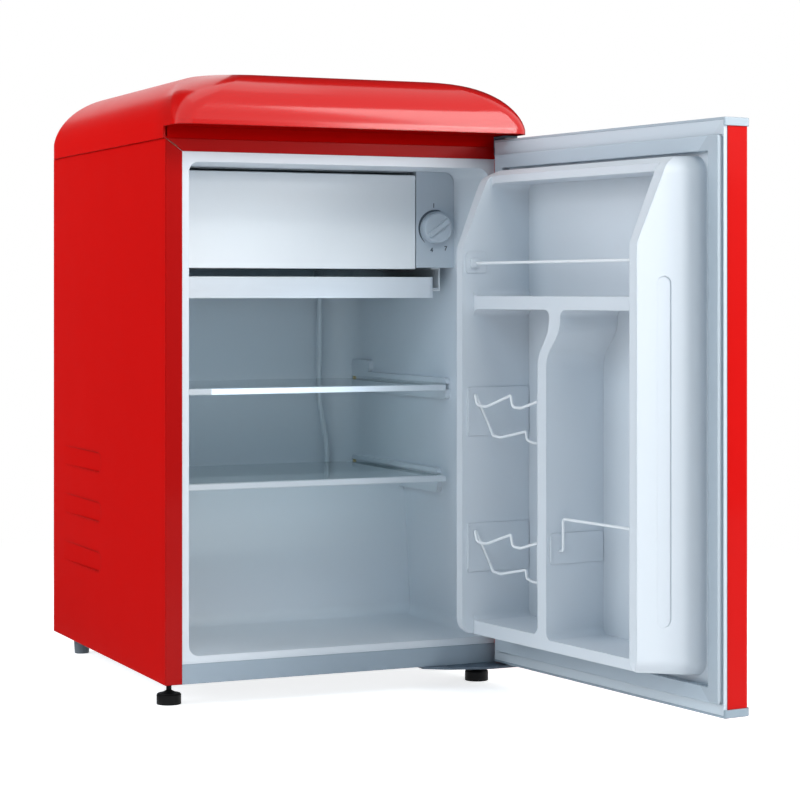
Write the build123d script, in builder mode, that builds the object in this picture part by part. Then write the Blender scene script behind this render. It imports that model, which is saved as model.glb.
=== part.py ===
"""Retro compact refrigerator with an open door, as an assembly of separate pieces.

Millimetres. X runs to the right, Y to the back and Z up. The origin is on the floor, under the centre of
the cabinet. The door pieces are drawn with the door shut and are swung open about the hinge line when they
are finished.
"""
from build123d import *
from math import cos, radians, sin
import os

os.makedirs("parts", exist_ok=True)

# Cabinet body
cabinet_width = 490.0
cabinet_depth = 520.0
floor_gap = 33.0
panel_height = 696.0
sheet = 1.2
side_flange = 22.5
top_flange = 16.0
mitre_gap = 0.8
mitre_land = 4.0
kick_rail_height = 25.3
kick_rail_lip = 14.0

# Three shallow recesses pressed into each side panel, fading out towards the back
pressing_count = 3
pressing_height = 27.0
pressing_pitch = 69.0
pressing_setback = 282.0
pressing_length = 184.0
pressing_depth = 2.2
pressing_rise = 195.0

# Top cap
cap_side_overhang = 3.0
cap_back_overhang = 8.0
cap_front_overhang = 57.0
cap_lip_rise = 15.0
cap_height = 86.0
cap_wall = 3.0
crown_start = 21.0
crown_inset_side = 75.0
crown_inset_front = 75.0
crown_inset_back = 50.0
cap_corner_lip = 22.0
cap_corner_top = 65.0
cap_sections = 9
cap_base_wall = 2.5
cap_base_gap = 2.0

# Liner
liner_wall = 2.0
opening_side = 32.0
opening_top = 29.0
opening_bottom = 35.0
liner_back_gap = 47.0
liner_corner = 14.0
liner_back_corner = 40.0
flange_tuck = 6.0
hump_foot_length = 219.0
hump_brow_length = 193.0
hump_height = 200.0
hump_round = 20.0
hump_heel_round = 6.0

# Shelf rails moulded into the liner's side walls, with heights above the hump
rail_depth = 7.0
rail_slot_depth = 5.0
rail_end_round = 8.0
rail_back_gap = 17.0
upper_rail_rise = 115.0
upper_rail_height = 30.0
upper_rail_setback = 120.0
upper_slot_rise = 129.0
lower_rail_drop = 18.0
lower_rail_height = 35.0
lower_rail_setback = 148.0
lower_slot_rise = 2.0
slot_height = 8.0
stop_pad_rise = 144.0
stop_pad_height = 19.0
stop_pad_length = 66.0

# Glass shelves
slide_gap = 0.3
shelf_glass = 5.0
shelf_setback = 118.0
shelf_back_gap = 27.0
shelf_corner = 45.0
shelf_side_play = 0.5
trim_wall = 1.5
trim_depth = 12.0
trim_round = 1.2

# Freezer box, flap and drip tray
box_side_gap = 4.0
box_control_gap = 63.0
box_setback = 120.0
box_rear_gap = 33.0
box_height = 133.0
box_wall = 1.5
box_corner = 16.0
flap_thickness = 8.0
flap_play = 1.5
flap_side_gap = 1.5
flap_front_gap = 4.0
flap_drop = 2.0
flap_top_gap = 5.0
flap_skin = 2.5
flap_border = 8.0
flap_pivot_drop = 5.0
flap_pin_radius = 2.0
flap_pin_play = 0.5
pin_clearance = 0.05
pin_engagement = 6.0
ear_reach = 18.0
tray_top_gap = 13.0
tray_height = 29.0
tray_wall = 2.0
tray_left_gap = 17.0
tray_right_gap = 29.0
tray_setback = 110.0
tray_rear_gap = 33.0
tray_corner = 8.0
tray_lip_width = 10.0
tray_lip_rise = 12.0
tray_lip_end = 10.0
runner_wall = 2.0
runner_width = 14.0
runner_play = 0.5
runner_setback = 122.0
runner_length = 193.0

# Controls
housing_width = 58.0
housing_setback = 108.0
housing_length = 212.0
housing_wall = 2.0
housing_corner = 16.0
knob_side_gap = 29.0
knob_drop = 78.0
knob_radius = 21.5
knob_height = 12.0
knob_gap = 0.3
knob_edge_round = 1.5
knob_taper = 4.0
knob_turn = 35.0
knob_socket_floor = 3.0
grip_width = 8.0
grip_height = 4.0
grip_inset = 3.0
grip_taper = 8.0
shaft_radius = 3.0
thermostat_width = 34.0
thermostat_depth = 28.0
thermostat_height = 40.0
thermostat_corner = 3.0
terminal_pitch = 10.0
terminal_width = 1.0
terminal_height = 6.0
terminal_length = 9.0

# Compressor bay
bay_foot_length = 212.0
bay_brow_length = 194.0
bay_roof_drop = 33.0
compressor_x = 70.0
compressor_back_gap = 105.0
compressor_radius = 65.0
compressor_rise = 17.0
compressor_height = 130.0
compressor_dome = 22.0
compressor_plate = 3.0
plate_corner = 10.0
grommet_radius = 11.0
grommet_pitch_x = 150.0
grommet_pitch_y = 96.0
bolt_radius = 4.0
cover_width = 54.0
cover_depth = 60.0
cover_height = 58.0
cover_rise = 25.0
cover_stand = 5.0
cover_corner = 8.0
evaporation_width = 126.0
evaporation_depth = 104.0
evaporation_height = 20.0
evaporation_corner = 12.0
evaporation_flare = 6.0
vent_x = -150.0
vent_count = 5
vent_pitch = 18.0
vent_length = 110.0
vent_width = 8.0
tube_radius = 2.5
tube_clearance = 1.0
condenser_back_gap = 10.0
condenser_runs = 6
condenser_pitch = 80.0
condenser_low_rise = 27.0
condenser_top_gap = 29.0
condenser_bend = 22.0
discharge_rise = 87.0
drier_radius = 9.0
drier_length = 62.0
drier_shoulder = 8.0
drier_nozzle = 1.5
drier_rise = 135.0
line_radius = 4.0
suction_rise = 117.0
line_side_gap = 47.6
line_back_gap = 16.0
line_box_inset = 12.0
line_box_drop = 90.0
line_bend_drops = (170.0, 328.0)
line_bow = (12.0, 13.0)
line_foot_rise = 32.0
line_bends = (7.0, 60.0, 120.0, 120.0, 16.0)
grommet_flange = 5.0

# Feet
foot_side_gap = 23.0
foot_setback = 55.0
foot_radius = 16.0
foot_pad_height = 14.0
foot_pad_round = 2.5
foot_shoulder_radius = 11.0
foot_shoulder_height = 4.0
stem_radius = 3.5
stem_rise = 13.0
stem_hole_gap = 1.0
foot_nut_radius = 7.5
foot_nut_height = 6.0
nut_pocket_gap = 2.0
rear_foot_side_gap = 39.0
rear_foot_back_gap = 13.0
rear_foot_radius = 10.5
rear_foot_flare = 4.0

# Door
door_side_gap = 2.0
door_gap = 12.0
door_edge_depth = 33.0
door_bow = 5.0
door_low_gap = 2.0
door_high_gap = 6.0
door_sheet = 1.0
door_edge_round = 5.0
end_cap_height = 10.0
end_cap_proud = 1.5
end_cap_round = 1.5
end_cap_corner = 2.0
skin_step = 1.4
pivot_inset = 12.0
pivot_depth = 9.0
rest_angle = 96.8
frame_rise = 4.0
frame_depth = 4.0
frame_ledge = 5.0
frame_cover = 6.5
frame_corner = 1.0
gasket_inset_hinge = 12.0
gasket_inset_free = 3.0
gasket_inset_bottom = 17.0
gasket_inset_top = 21.0
gasket_width = 18.0
gasket_height = 11.7
gasket_foot = 3.0
gasket_neck = 4.7
gasket_waist = 1.5
gasket_corner = 2.5
gasket_round = 1.0
gasket_seat_gap = 0.5

# Hinges
hinge_pin_radius = 4.0
bush_wall = 2.0
bush_length = 14.0
pin_end_gap = 1.0
bracket_thickness = 2.5
bracket_width = 24.0
bracket_drop = 11.0
bracket_top_gap = 1.0
bracket_side_gap = 2.0
bracket_nose = 8.0
bracket_corner = 2.0
bracket_screw_inset = 5.0
hinge_plate_thickness = 3.0
hinge_plate_width = 130.0
hinge_plate_nose = 16.0
hinge_plate_tail = 74.0
hinge_plate_corner = 5.0
hinge_plate_chamfer = 30.0
plate_shoulder_front = 20.0
plate_shoulder_back = 52.0
plate_wide_front = 48.0
plate_wide_back = 60.0
plate_screw_insets = (50.0, 85.0)
plate_screw_setback = 40.0
plate_slot_inset = 52.0
plate_slot_length = 36.0
plate_slot_width = 7.0
screw_head_radius = 4.0
screw_head_height = 1.2
screw_radius = 2.0
screw_length = 5.0
screw_pocket_gap = 1.0

# Door liner. Widths run from the door's hinge edge or its free edge, reaches from its inner plane, heights
# from its lower or its upper end.
recess_depth = 10.0
dike_height = 95.0
dike_base_hinge = 41.0
dike_crest_hinge = 48.0
dike_inner_hinge = 62.0
dike_base_free_gap = 38.0
dike_crest_free_gap = 48.0
dike_inner_free_gap = 62.0
tub_low_rise = 43.0
tub_crest_low_rise = 53.0
tub_top_drop = 43.0
tub_crest_top_drop = 47.0
tub_corner = 20.0
dike_foot_round = 16.0
dike_shoulder_round = 24.0
slope_low_drop = 148.0
slope_high_drop = 55.0
slope_high_v = 55.0
slope_end_v = 31.0
lip_depth = 78.0
ridge_depth = 50.0
ridge_fall = 4.0
top_pocket_low_drop = 210.0
top_pocket_high_drop = 62.0
column_top_drop = 227.0
can_floor_rise = 69.0
bottle_floor_rise = 65.0
divider_left = 210.0
divider_right = 229.0
divider_bend_drop = 301.0
divider_top_drop = 238.0
divider_top_left = 235.0
divider_top_right = 259.0
divider_flare = 10.0
pocket_corner = 10.0
pocket_margin = 3.0
bead_low_rise = 105.0
bead_high_drop = 186.0
bead_width = 19.0
bead_v = 57.5
bead_depth = 1.5

# Bracket plates and wires of the door's bins. A rack's wave is a row of bends, each with its distance from
# the rack's far end, its height above the rack's base and its radius.
wire_radius = 1.8
wire_gap = 0.4
bracket_wall = 1.5
plate_lip_width = 3.0
plate_lip_height = 3.0
plate_round = 4.0
bail_plate_v = (58.0, 90.0)
bail_plate_drops = (180.0, 152.0)
bail_hook_v = (20.0, 6.0)
bail_hook_margins = (7.0, 9.0)
bail_hook_height = 4.0
bail_v = 76.0
bail_drop = 167.0
bail_end_play = 4.0
bail_crank = (12.0, 7.0, 6.0)
bail_bend = 3.0
can_plate_v = (-9.0, 88.0)
divider_plate_v = (-9.0, 77.0)
divider_plate_drop = 9.0
can_plate_rises = (310.0, 132.0)
can_plate_height = 64.0
rack_end_straight = 8.0
rack_front_v = 70.0
rack_back_v = 45.0
rack_splay = 9.0
rack_front_wave = (
    (0.0, 50.5, 8.0), (36.0, 40.5, 18.0), (53.0, 41.0, 7.0), (56.5, 56.0, 2.2), (108.0, 39.5, 25.0),
)
rack_front_dip = (6.6, 40.5, 9.0)
rack_back_wave = ((44.0, -5.0, 9.0), (56.5, -2.0, 4.0), (58.5, 9.0, 2.2), (112.0, -1.5, 25.0))
rack_back_dip = (7.0, 0.0, 5.0)
rack_corner_rise = 60.0
rack_back_corner_rise = 10.0
rack_corner_bend = 2.5
bottle_plate_v = (-9.0, 73.0)
bottle_plate_rise = 158.0
bottle_plate_height = 39.0
bottle_v = 58.0
bottle_bail_rise = 175.0
bottle_bail_height = 40.0
bottle_bail_crank = 7.0
bottle_bail_bend = 4.0

# Reference planes and places worked out from the driving dimensions
half_width = cabinet_width / 2
front_y = -cabinet_depth / 2
back_y = cabinet_depth / 2
base_z = floor_gap
base_top = base_z + sheet
panel_top = base_z + panel_height
half_opening = half_width - opening_side
ceiling_z = panel_top - opening_top
floor_z = base_z + opening_bottom
liner_back = back_y - liner_back_gap
hump_top = floor_z + hump_height
hump_foot_y = liner_back - hump_foot_length
hump_brow_y = liner_back - hump_brow_length
pressing_front_y = front_y + pressing_setback
pressing_middle_z = base_z + pressing_rise
inner_width = half_width - sheet
flange_y = front_y + sheet
lip_z = panel_top + cap_lip_rise

# Shelves and their rails
rail_back = liner_back - rail_back_gap
upper_rail_z = hump_top + upper_rail_rise
upper_rail_front = front_y + upper_rail_setback
upper_slot_z = hump_top + upper_slot_rise
lower_rail_z = hump_top - lower_rail_drop
lower_rail_front = front_y + lower_rail_setback
lower_slot_z = hump_top + lower_slot_rise
stop_pad_z = hump_top + stop_pad_rise
stop_pad_front = rail_back - stop_pad_length
shelf_front = front_y + shelf_setback
shelf_back = liner_back - shelf_back_gap

# Freezer box, flap, tray and controls
box_left = -half_opening + box_side_gap
box_right = half_opening - box_control_gap
box_front = front_y + box_setback
box_back = liner_back - box_rear_gap
box_bottom_z = ceiling_z - box_height
tray_left = -half_opening + tray_left_gap
tray_right = half_opening - tray_right_gap
tray_front = front_y + tray_setback
tray_back = liner_back - tray_rear_gap
runner_front = front_y + runner_setback
runner_back = runner_front + runner_length
housing_left = half_opening - housing_width
housing_front = front_y + housing_setback
housing_back = housing_front + housing_length
knob_x = half_opening - knob_side_gap
knob_z = ceiling_z - knob_drop

# Compressor bay
bay_foot_y = back_y - bay_foot_length
bay_brow_y = back_y - bay_brow_length
bay_roof_z = hump_top - bay_roof_drop
compressor_y = back_y - compressor_back_gap
compressor_bottom_z = base_z + compressor_rise
condenser_y = back_y - condenser_back_gap
condenser_left = -condenser_pitch * (condenser_runs - 1) / 2
condenser_right = -condenser_left
condenser_low_z = bay_roof_z + condenser_low_rise
condenser_high_z = panel_top - condenser_top_gap
discharge_z = base_z + discharge_rise
drier_top_z = base_z + drier_rise
suction_z = base_z + suction_rise
line_x = half_opening - line_side_gap
line_y = liner_back - line_back_gap
line_hole_radius = line_radius + tube_clearance

# Feet
foot_x = half_width - foot_side_gap
front_foot_y = front_y + foot_setback
stem_top_z = base_z + stem_rise
rear_foot_x = half_width - rear_foot_side_gap
rear_foot_y = back_y - rear_foot_back_gap
stem_places = [(-foot_x, front_foot_y), (foot_x, front_foot_y)]

# Door and hinges
door_width = cabinet_width - 2 * door_side_gap
door_half = door_width / 2
door_inner = front_y - door_gap
door_bottom_z = base_z + door_low_gap
door_top_z = lip_z - door_high_gap
pivot_x = door_half - pivot_inset
pivot_y = door_inner - pivot_depth
bracket_left = half_width - bracket_width
bracket_right = half_width - bracket_side_gap
bracket_leg_z = lip_z - bracket_top_gap
bracket_screw_z = panel_top - top_flange / 2
bracket_screws = [(bracket_left + bracket_screw_inset, bracket_screw_z),
                  (bracket_right - bracket_screw_inset, bracket_screw_z)]
hinge_plate_left = half_width - hinge_plate_width
hinge_plate_front = pivot_y - hinge_plate_nose
hinge_plate_back = front_y + hinge_plate_tail
plate_screws = [(hinge_plate_left + inset, front_y + plate_screw_setback) for inset in plate_screw_insets]

# Door liner
dike_base_free = door_width - dike_base_free_gap
dike_crest_free = door_width - dike_crest_free_gap
dike_inner_free = door_width - dike_inner_free_gap
tub_low_z = door_bottom_z + tub_low_rise
tub_crest_low_z = door_bottom_z + tub_crest_low_rise
tub_top_z = door_top_z - tub_top_drop
tub_crest_top_z = door_top_z - tub_crest_top_drop
slope_low_z = door_top_z - slope_low_drop
slope_high_z = door_top_z - slope_high_drop
top_pocket_low_z = door_top_z - top_pocket_low_drop
top_pocket_high_z = door_top_z - top_pocket_high_drop
column_top_z = door_top_z - column_top_drop
can_floor_z = door_bottom_z + can_floor_rise
bottle_floor_z = door_bottom_z + bottle_floor_rise
divider_bend_z = door_top_z - divider_bend_drop
divider_top_z = door_top_z - divider_top_drop
bead_low_z = door_bottom_z + bead_low_rise
bead_high_z = door_top_z - bead_high_drop


def plan(z):
    """Horizontal plane at height z."""
    return Plane.XY.offset(z)


def elevation(y):
    """Upright plane across the cabinet at depth y. A positive extrusion goes to the front."""
    return Plane.XZ.offset(-y)


def side(x):
    """Upright plane from front to back at x. A positive extrusion goes to the right."""
    return Plane.YZ.offset(x)


def rectangle(left, right, low, high, mode=Mode.ADD):
    """Rectangle between two pairs of sketch coordinates."""
    with Locations(((left + right) / 2, (low + high) / 2)):
        Rectangle(right - left, high - low, mode=mode)


def rounded(left, right, low, high, radius, mode=Mode.ADD):
    """Rectangle with rounded corners between two pairs of sketch coordinates."""
    with Locations(((left + right) / 2, (low + high) / 2)):
        RectangleRounded(right - left, high - low, radius, mode=mode)


# ---------------------------------------------------------------- cabinet body
def liner_form(growth):
    """The liner's cavity, grown outwards by the given amount, with the hump and all rounded corners."""
    with BuildPart() as form:
        with BuildSketch(side(-half_opening - growth)):
            with BuildLine():
                Polyline(
                    (front_y, floor_z - growth),
                    (hump_foot_y + growth, floor_z - growth),
                    (hump_brow_y + growth, hump_top - growth),
                    (liner_back + growth, hump_top - growth),
                    (liner_back + growth, ceiling_z + growth),
                    (front_y, ceiling_z + growth),
                    close=True,
                )
            make_face()
            hump_brow, hump_heel = vertices().filter_by_position(
                Axis.Y, hump_top - growth - 1.0, hump_top - growth + 1.0).sort_by(Axis.X)
            fillet(hump_heel, radius=hump_heel_round)
            fillet(hump_brow, radius=hump_round)
            fillet(vertices().group_by(Axis.Y)[0].sort_by(Axis.X)[-1], radius=hump_round)
            fillet(vertices().group_by(Axis.Y)[-1].sort_by(Axis.X)[-1], radius=hump_round)
        extrude(amount=2 * (half_opening + growth))
        with BuildSketch(plan(base_z)):
            rectangle(-half_opening - growth, half_opening + growth, front_y, liner_back + growth)
            fillet(vertices().group_by(Axis.Y)[-1], radius=liner_back_corner + growth)
        extrude(amount=panel_height, mode=Mode.INTERSECT)
        with BuildSketch(elevation(front_y)):
            rounded(-half_opening - growth, half_opening + growth, floor_z - growth, ceiling_z + growth,
                    liner_corner + growth)
        extrude(amount=-cabinet_depth, mode=Mode.INTERSECT)
    return form.part


def pressed_recess(middle_z, outside, growth):
    """Wedge in the left side panel from the given x: deepest at its front end and fading out to the back."""
    low_y = pressing_front_y - growth
    high_y = pressing_front_y + pressing_length + pressing_height + growth

    def depth_at(y):
        return pressing_depth * (1 - (y - pressing_front_y) / pressing_length)

    with BuildPart() as wedge:
        with BuildSketch(side(outside)):
            with Locations(((low_y + high_y) / 2, middle_z)):
                SlotOverall(high_y - low_y, pressing_height + 2 * growth)
        extrude(amount=pressing_depth + 2 * (sheet + growth))
        with BuildSketch(plan(middle_z - pressing_height)):
            with BuildLine():
                Polyline(
                    (outside, low_y),
                    (-half_width + growth + depth_at(low_y), low_y),
                    (-half_width + growth + depth_at(high_y), high_y),
                    (outside, high_y),
                    close=True,
                )
            make_face()
        extrude(amount=2 * pressing_height, mode=Mode.INTERSECT)
    return wedge.part


pressing_steps = [n - (pressing_count - 1) / 2 for n in range(pressing_count)]
pressing_heights = [pressing_middle_z + step * pressing_pitch for step in pressing_steps]
left_recesses = [pressed_recess(z, -half_width - sheet, 0.0) for z in pressing_heights]
left_bulges = [pressed_recess(z, -half_width + sheet / 2, sheet) for z in pressing_heights]
recesses = left_recesses + [mirror(recess, about=Plane.YZ) for recess in left_recesses]
bulges = left_bulges + [mirror(bulge, about=Plane.YZ) for bulge in left_bulges]

with BuildPart() as cabinet_shell:
    with BuildSketch(elevation(front_y)):
        rectangle(-half_width, half_width, base_z, panel_top)
        rectangle(-half_width + sheet, half_width - sheet, base_z, panel_top - sheet, mode=Mode.SUBTRACT)
    extrude(amount=-cabinet_depth)
    with BuildSketch(elevation(front_y)):
        rectangle(-half_width, half_width, base_z, panel_top)
        rectangle(-half_width + side_flange, half_width - side_flange, base_z, panel_top - top_flange,
                  mode=Mode.SUBTRACT)
    extrude(amount=-sheet)
    # The flanges meet at a mitre in each top corner
    for hand in (-1, 1):
        inner_corner = Vector(hand * (half_width - side_flange), panel_top - top_flange)
        outer_corner = Vector(hand * half_width, panel_top)
        mitre = outer_corner - inner_corner
        start = inner_corner - mitre.normalized() * mitre_gap
        stop = outer_corner - mitre.normalized() * mitre_land
        with BuildSketch(elevation(front_y)):
            with BuildLine():
                Line(start, stop)
            trace(line_width=mitre_gap)
        extrude(amount=-sheet, mode=Mode.SUBTRACT)
    for bulge in bulges:
        add(bulge)
    for recess in recesses:
        add(recess, mode=Mode.SUBTRACT)
    with BuildSketch(elevation(front_y)):
        with Locations(*bracket_screws):
            Circle(screw_radius)
    extrude(amount=-sheet, mode=Mode.SUBTRACT)
cabinet_shell.part.label = "cabinet_shell"
export_step(cabinet_shell.part, "parts/cabinet_shell.step")


def bay_corners(growth):
    """Corners of the compressor bay's side outline, grown by the thickness of its panel."""
    return [
        (bay_foot_y - growth, base_top),
        (bay_brow_y - growth, bay_roof_z + growth),
        (back_y - sheet, bay_roof_z + growth),
        (back_y - sheet, base_top),
    ]


with BuildPart() as bay_panel:
    with BuildSketch(side(-inner_width)):
        with BuildLine():
            Polyline(*bay_corners(sheet), close=True)
        make_face()
    extrude(amount=2 * inner_width)
    with BuildSketch(side(-inner_width)):
        with BuildLine():
            Polyline(*bay_corners(0.0), close=True)
        make_face()
    extrude(amount=2 * inner_width, mode=Mode.SUBTRACT)
    with BuildSketch(plan(bay_roof_z)):
        with Locations((condenser_left, condenser_y), (condenser_right, condenser_y)):
            Circle(tube_radius + tube_clearance)
        with Locations((line_x, line_y)):
            Circle(line_hole_radius)
    extrude(amount=sheet, mode=Mode.SUBTRACT)
    for bulge in bulges:
        add(bulge, mode=Mode.SUBTRACT)
bay_panel.part.label = "bay_panel"
export_step(bay_panel.part, "parts/bay_panel.step")

with BuildPart() as back_panel:
    with BuildSketch(elevation(back_y)):
        rectangle(-inner_width, inner_width, bay_roof_z + sheet, panel_top - sheet)
    extrude(amount=sheet)
back_panel.part.label = "back_panel"
export_step(back_panel.part, "parts/back_panel.step")

# Rounded ridges along the side walls, before their slots are cut
with BuildPart() as shelf_rails:
    for hand in (-1, 1):
        for front, low, height in (
            (upper_rail_front, upper_rail_z, upper_rail_height),
            (lower_rail_front, lower_rail_z, lower_rail_height),
            (stop_pad_front, stop_pad_z, stop_pad_height),
        ):
            with BuildSketch(side(hand * (half_opening + liner_wall))):
                rounded(front, rail_back, low, low + height, rail_end_round)
            extrude(amount=-hand * (rail_depth + liner_wall))
    add(liner_form(liner_wall), mode=Mode.INTERSECT)

with BuildPart() as inner_liner:
    add(liner_form(liner_wall))
    with BuildSketch(elevation(front_y)):
        rectangle(-half_width, half_width, base_z, panel_top)
    extrude(amount=-sheet, mode=Mode.SUBTRACT)
    with BuildSketch(elevation(flange_y)):
        rectangle(-half_width + side_flange - flange_tuck, half_width - side_flange + flange_tuck,
                  base_z + kick_rail_height - flange_tuck, panel_top - top_flange + flange_tuck)
    extrude(amount=-liner_wall)
    add(liner_form(0.0), mode=Mode.SUBTRACT)
    add(shelf_rails.part)
    for hand in (-1, 1):
        for front, slot in ((upper_rail_front, upper_slot_z), (lower_rail_front, lower_slot_z)):
            with BuildSketch(side(hand * (half_opening - rail_depth))):
                rectangle(front, rail_back, slot, slot + slot_height)
            extrude(amount=hand * rail_slot_depth, mode=Mode.SUBTRACT)
    with BuildSketch(plan(hump_top - liner_wall)):
        with Locations((line_x, line_y)):
            Circle(line_radius + grommet_flange / 2)
    extrude(amount=liner_wall, mode=Mode.SUBTRACT)
inner_liner.part.label = "inner_liner"
export_step(inner_liner.part, "parts/inner_liner.step")

with BuildPart() as line_grommet:
    with BuildSketch(plan(hump_top - liner_wall)):
        with Locations((line_x, line_y)):
            Circle(line_radius + grommet_flange / 2)
            Circle(line_radius, mode=Mode.SUBTRACT)
    extrude(amount=liner_wall)
    with BuildSketch(plan(hump_top)):
        with Locations((line_x, line_y)):
            Circle(line_radius + grommet_flange)
            Circle(line_radius, mode=Mode.SUBTRACT)
    extrude(amount=liner_wall)
line_grommet.part.label = "line_grommet"
export_step(line_grommet.part, "parts/line_grommet.step")

# Condenser tube: a serpentine behind the foam, with both ends reaching down into the compressor bay
compressor_side_x = compressor_x + compressor_radius
run_places = [condenser_left + n * condenser_pitch for n in range(condenser_runs)]
serpentine = []
for n, x in enumerate(run_places):
    ends = [condenser_low_z, condenser_high_z] if n % 2 == 0 else [condenser_high_z, condenser_low_z]
    serpentine += [(x, condenser_y, z) for z in ends]
serpentine[0] = (condenser_left, condenser_y, drier_top_z)
serpentine[-1] = (condenser_right, condenser_y, discharge_z)
discharge = [(condenser_right, compressor_y, discharge_z), (compressor_side_x, compressor_y, discharge_z)]

with BuildPart() as condenser_tube:
    with BuildLine():
        FilletPolyline(*serpentine, *discharge, radius=condenser_bend)
    with BuildSketch(Plane(serpentine[0], x_dir=(1, 0, 0), z_dir=(0, 0, 1))):
        Circle(tube_radius)
    sweep()
condenser_tube.part.label = "condenser_tube"
export_step(condenser_tube.part, "parts/condenser_tube.step")

with BuildPart() as base_tray:
    with BuildSketch(plan(base_z)):
        rectangle(-inner_width, inner_width, front_y + sheet, back_y)
        with Locations(*stem_places):
            Circle(stem_radius + stem_hole_gap, mode=Mode.SUBTRACT)
        with Locations(*plate_screws):
            Circle(screw_radius, mode=Mode.SUBTRACT)
        # Vents beside the compressor
        with Locations((vent_x, compressor_y)):
            with GridLocations(0.0, vent_pitch, 1, vent_count):
                SlotOverall(vent_length, vent_width, mode=Mode.SUBTRACT)
    extrude(amount=sheet)
base_tray.part.label = "base_tray"
export_step(base_tray.part, "parts/base_tray.step")

with BuildPart() as kick_rail:
    with BuildSketch(elevation(front_y)):
        rectangle(-half_width + side_flange, half_width - side_flange, base_z, base_z + kick_rail_height)
    extrude(amount=-sheet)
    with BuildSketch(plan(base_top)):
        rectangle(-half_width + side_flange, half_width - side_flange, front_y, front_y + kick_rail_lip)
    extrude(amount=sheet)
kick_rail.part.label = "kick_rail"
export_step(kick_rail.part, "parts/kick_rail.step")

with BuildPart() as foam_insulation:
    with BuildSketch(plan(base_top)):
        rectangle(-inner_width, inner_width, front_y + sheet, back_y - sheet)
    extrude(amount=panel_height - 2 * sheet)
    with BuildSketch(elevation(front_y)):
        rectangle(-half_width + side_flange - flange_tuck, half_width - side_flange + flange_tuck,
                  base_z + kick_rail_height - flange_tuck, panel_top - top_flange + flange_tuck)
    extrude(amount=-sheet - liner_wall, mode=Mode.SUBTRACT)
    add(liner_form(liner_wall), mode=Mode.SUBTRACT)
    with BuildSketch(side(-inner_width)):
        with BuildLine():
            Polyline(*bay_corners(sheet), close=True)
        make_face()
    extrude(amount=2 * inner_width, mode=Mode.SUBTRACT)
    for bulge in bulges:
        add(bulge, mode=Mode.SUBTRACT)
    with BuildSketch(plan(base_top)):
        rectangle(-half_width + side_flange, half_width - side_flange, front_y, front_y + kick_rail_lip)
    extrude(amount=sheet, mode=Mode.SUBTRACT)
    # Pockets over the foot nuts and the hinge plate's screws
    with BuildSketch(plan(base_top)):
        with Locations(*stem_places):
            Circle(foot_nut_radius + nut_pocket_gap)
        with Locations(*plate_screws):
            Circle(screw_radius + screw_pocket_gap)
    extrude(amount=stem_top_z - base_top + nut_pocket_gap, mode=Mode.SUBTRACT)
    with BuildSketch(elevation(front_y)):
        with Locations(*bracket_screws):
            Circle(screw_radius + screw_pocket_gap)
    extrude(amount=-screw_length, mode=Mode.SUBTRACT)
    # Channel for the condenser tube, open to the back panel
    with BuildSketch(elevation(back_y - sheet)):
        with BuildLine():
            FilletPolyline(*[(x, z) for x, y, z in serpentine], radius=condenser_bend)
        trace(line_width=2 * tube_radius)
    extrude(amount=-(condenser_y - tube_radius - back_y + sheet), mode=Mode.SUBTRACT)
    with BuildSketch(plan(bay_roof_z)):
        with Locations((line_x, line_y)):
            Circle(line_hole_radius)
    extrude(amount=hump_top - bay_roof_z, mode=Mode.SUBTRACT)
foam_insulation.part.label = "foam_insulation"
export_step(foam_insulation.part, "parts/foam_insulation.step")


# ---------------------------------------------------------------- top cap
cap_left = -half_width - cap_side_overhang
cap_right = half_width + cap_side_overhang
cap_front = front_y - cap_front_overhang
cap_back = back_y + cap_back_overhang


def cap_form(wall):
    """The cap's outer form, or with a wall thickness the space inside it."""
    crown_rise = cap_height - crown_start
    with BuildPart() as form:
        for level in (panel_top, panel_top + crown_start):
            with BuildSketch(plan(level)):
                rounded(cap_left + wall, cap_right - wall, cap_front + wall, cap_back - wall,
                        cap_corner_lip - wall)
        loft(ruled=True)
        for n in range(cap_sections + 1):
            turn = radians(90.0 * n / cap_sections)
            inset = 1 - cos(turn)
            level = panel_top + crown_start + (crown_rise - wall) * sin(turn)
            corner = cap_corner_lip - wall + (cap_corner_top - cap_corner_lip) * sin(turn)
            with BuildSketch(plan(level)):
                rounded(
                    cap_left + wall + crown_inset_side * inset,
                    cap_right - wall - crown_inset_side * inset,
                    cap_front + wall + crown_inset_front * inset,
                    cap_back - wall - crown_inset_back * inset,
                    corner,
                )
        loft()
    return form.part


with BuildPart() as top_cap:
    add(cap_form(0.0))
    add(cap_form(cap_wall), mode=Mode.SUBTRACT)
    # The lip rises in front of the cabinet, above the door
    with BuildSketch(side(2 * cap_left)):
        rectangle(2 * cap_front, front_y - slide_gap, base_z, lip_z)
    extrude(amount=2 * (cap_right - cap_left), mode=Mode.SUBTRACT)
top_cap.part.label = "top_cap"
export_step(top_cap.part, "parts/top_cap.step")

cap_seat = cap_wall + slide_gap
soffit_seat = cap_seat + cap_base_gap
with BuildPart() as cap_base:
    with BuildSketch(plan(panel_top)):
        rounded(cap_left + cap_seat, cap_right - cap_seat, cap_front + cap_seat, cap_back - cap_seat,
                cap_corner_lip - cap_seat)
        rectangle(cap_left, cap_right, cap_front, front_y, mode=Mode.SUBTRACT)
    extrude(amount=cap_base_wall)
    with BuildSketch(plan(panel_top)):
        rectangle(cap_left + soffit_seat, cap_right - soffit_seat, front_y, front_y + cap_base_wall)
    extrude(amount=cap_lip_rise + cap_base_wall)
    with BuildSketch(plan(lip_z)):
        rounded(cap_left + soffit_seat, cap_right - soffit_seat, cap_front + soffit_seat, back_y,
                cap_corner_lip + cap_base_gap)
        rectangle(cap_left, cap_right, front_y + cap_base_wall, cap_back, mode=Mode.SUBTRACT)
    extrude(amount=cap_base_wall)
cap_base.part.label = "cap_base"
export_step(cap_base.part, "parts/cap_base.step")


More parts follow.
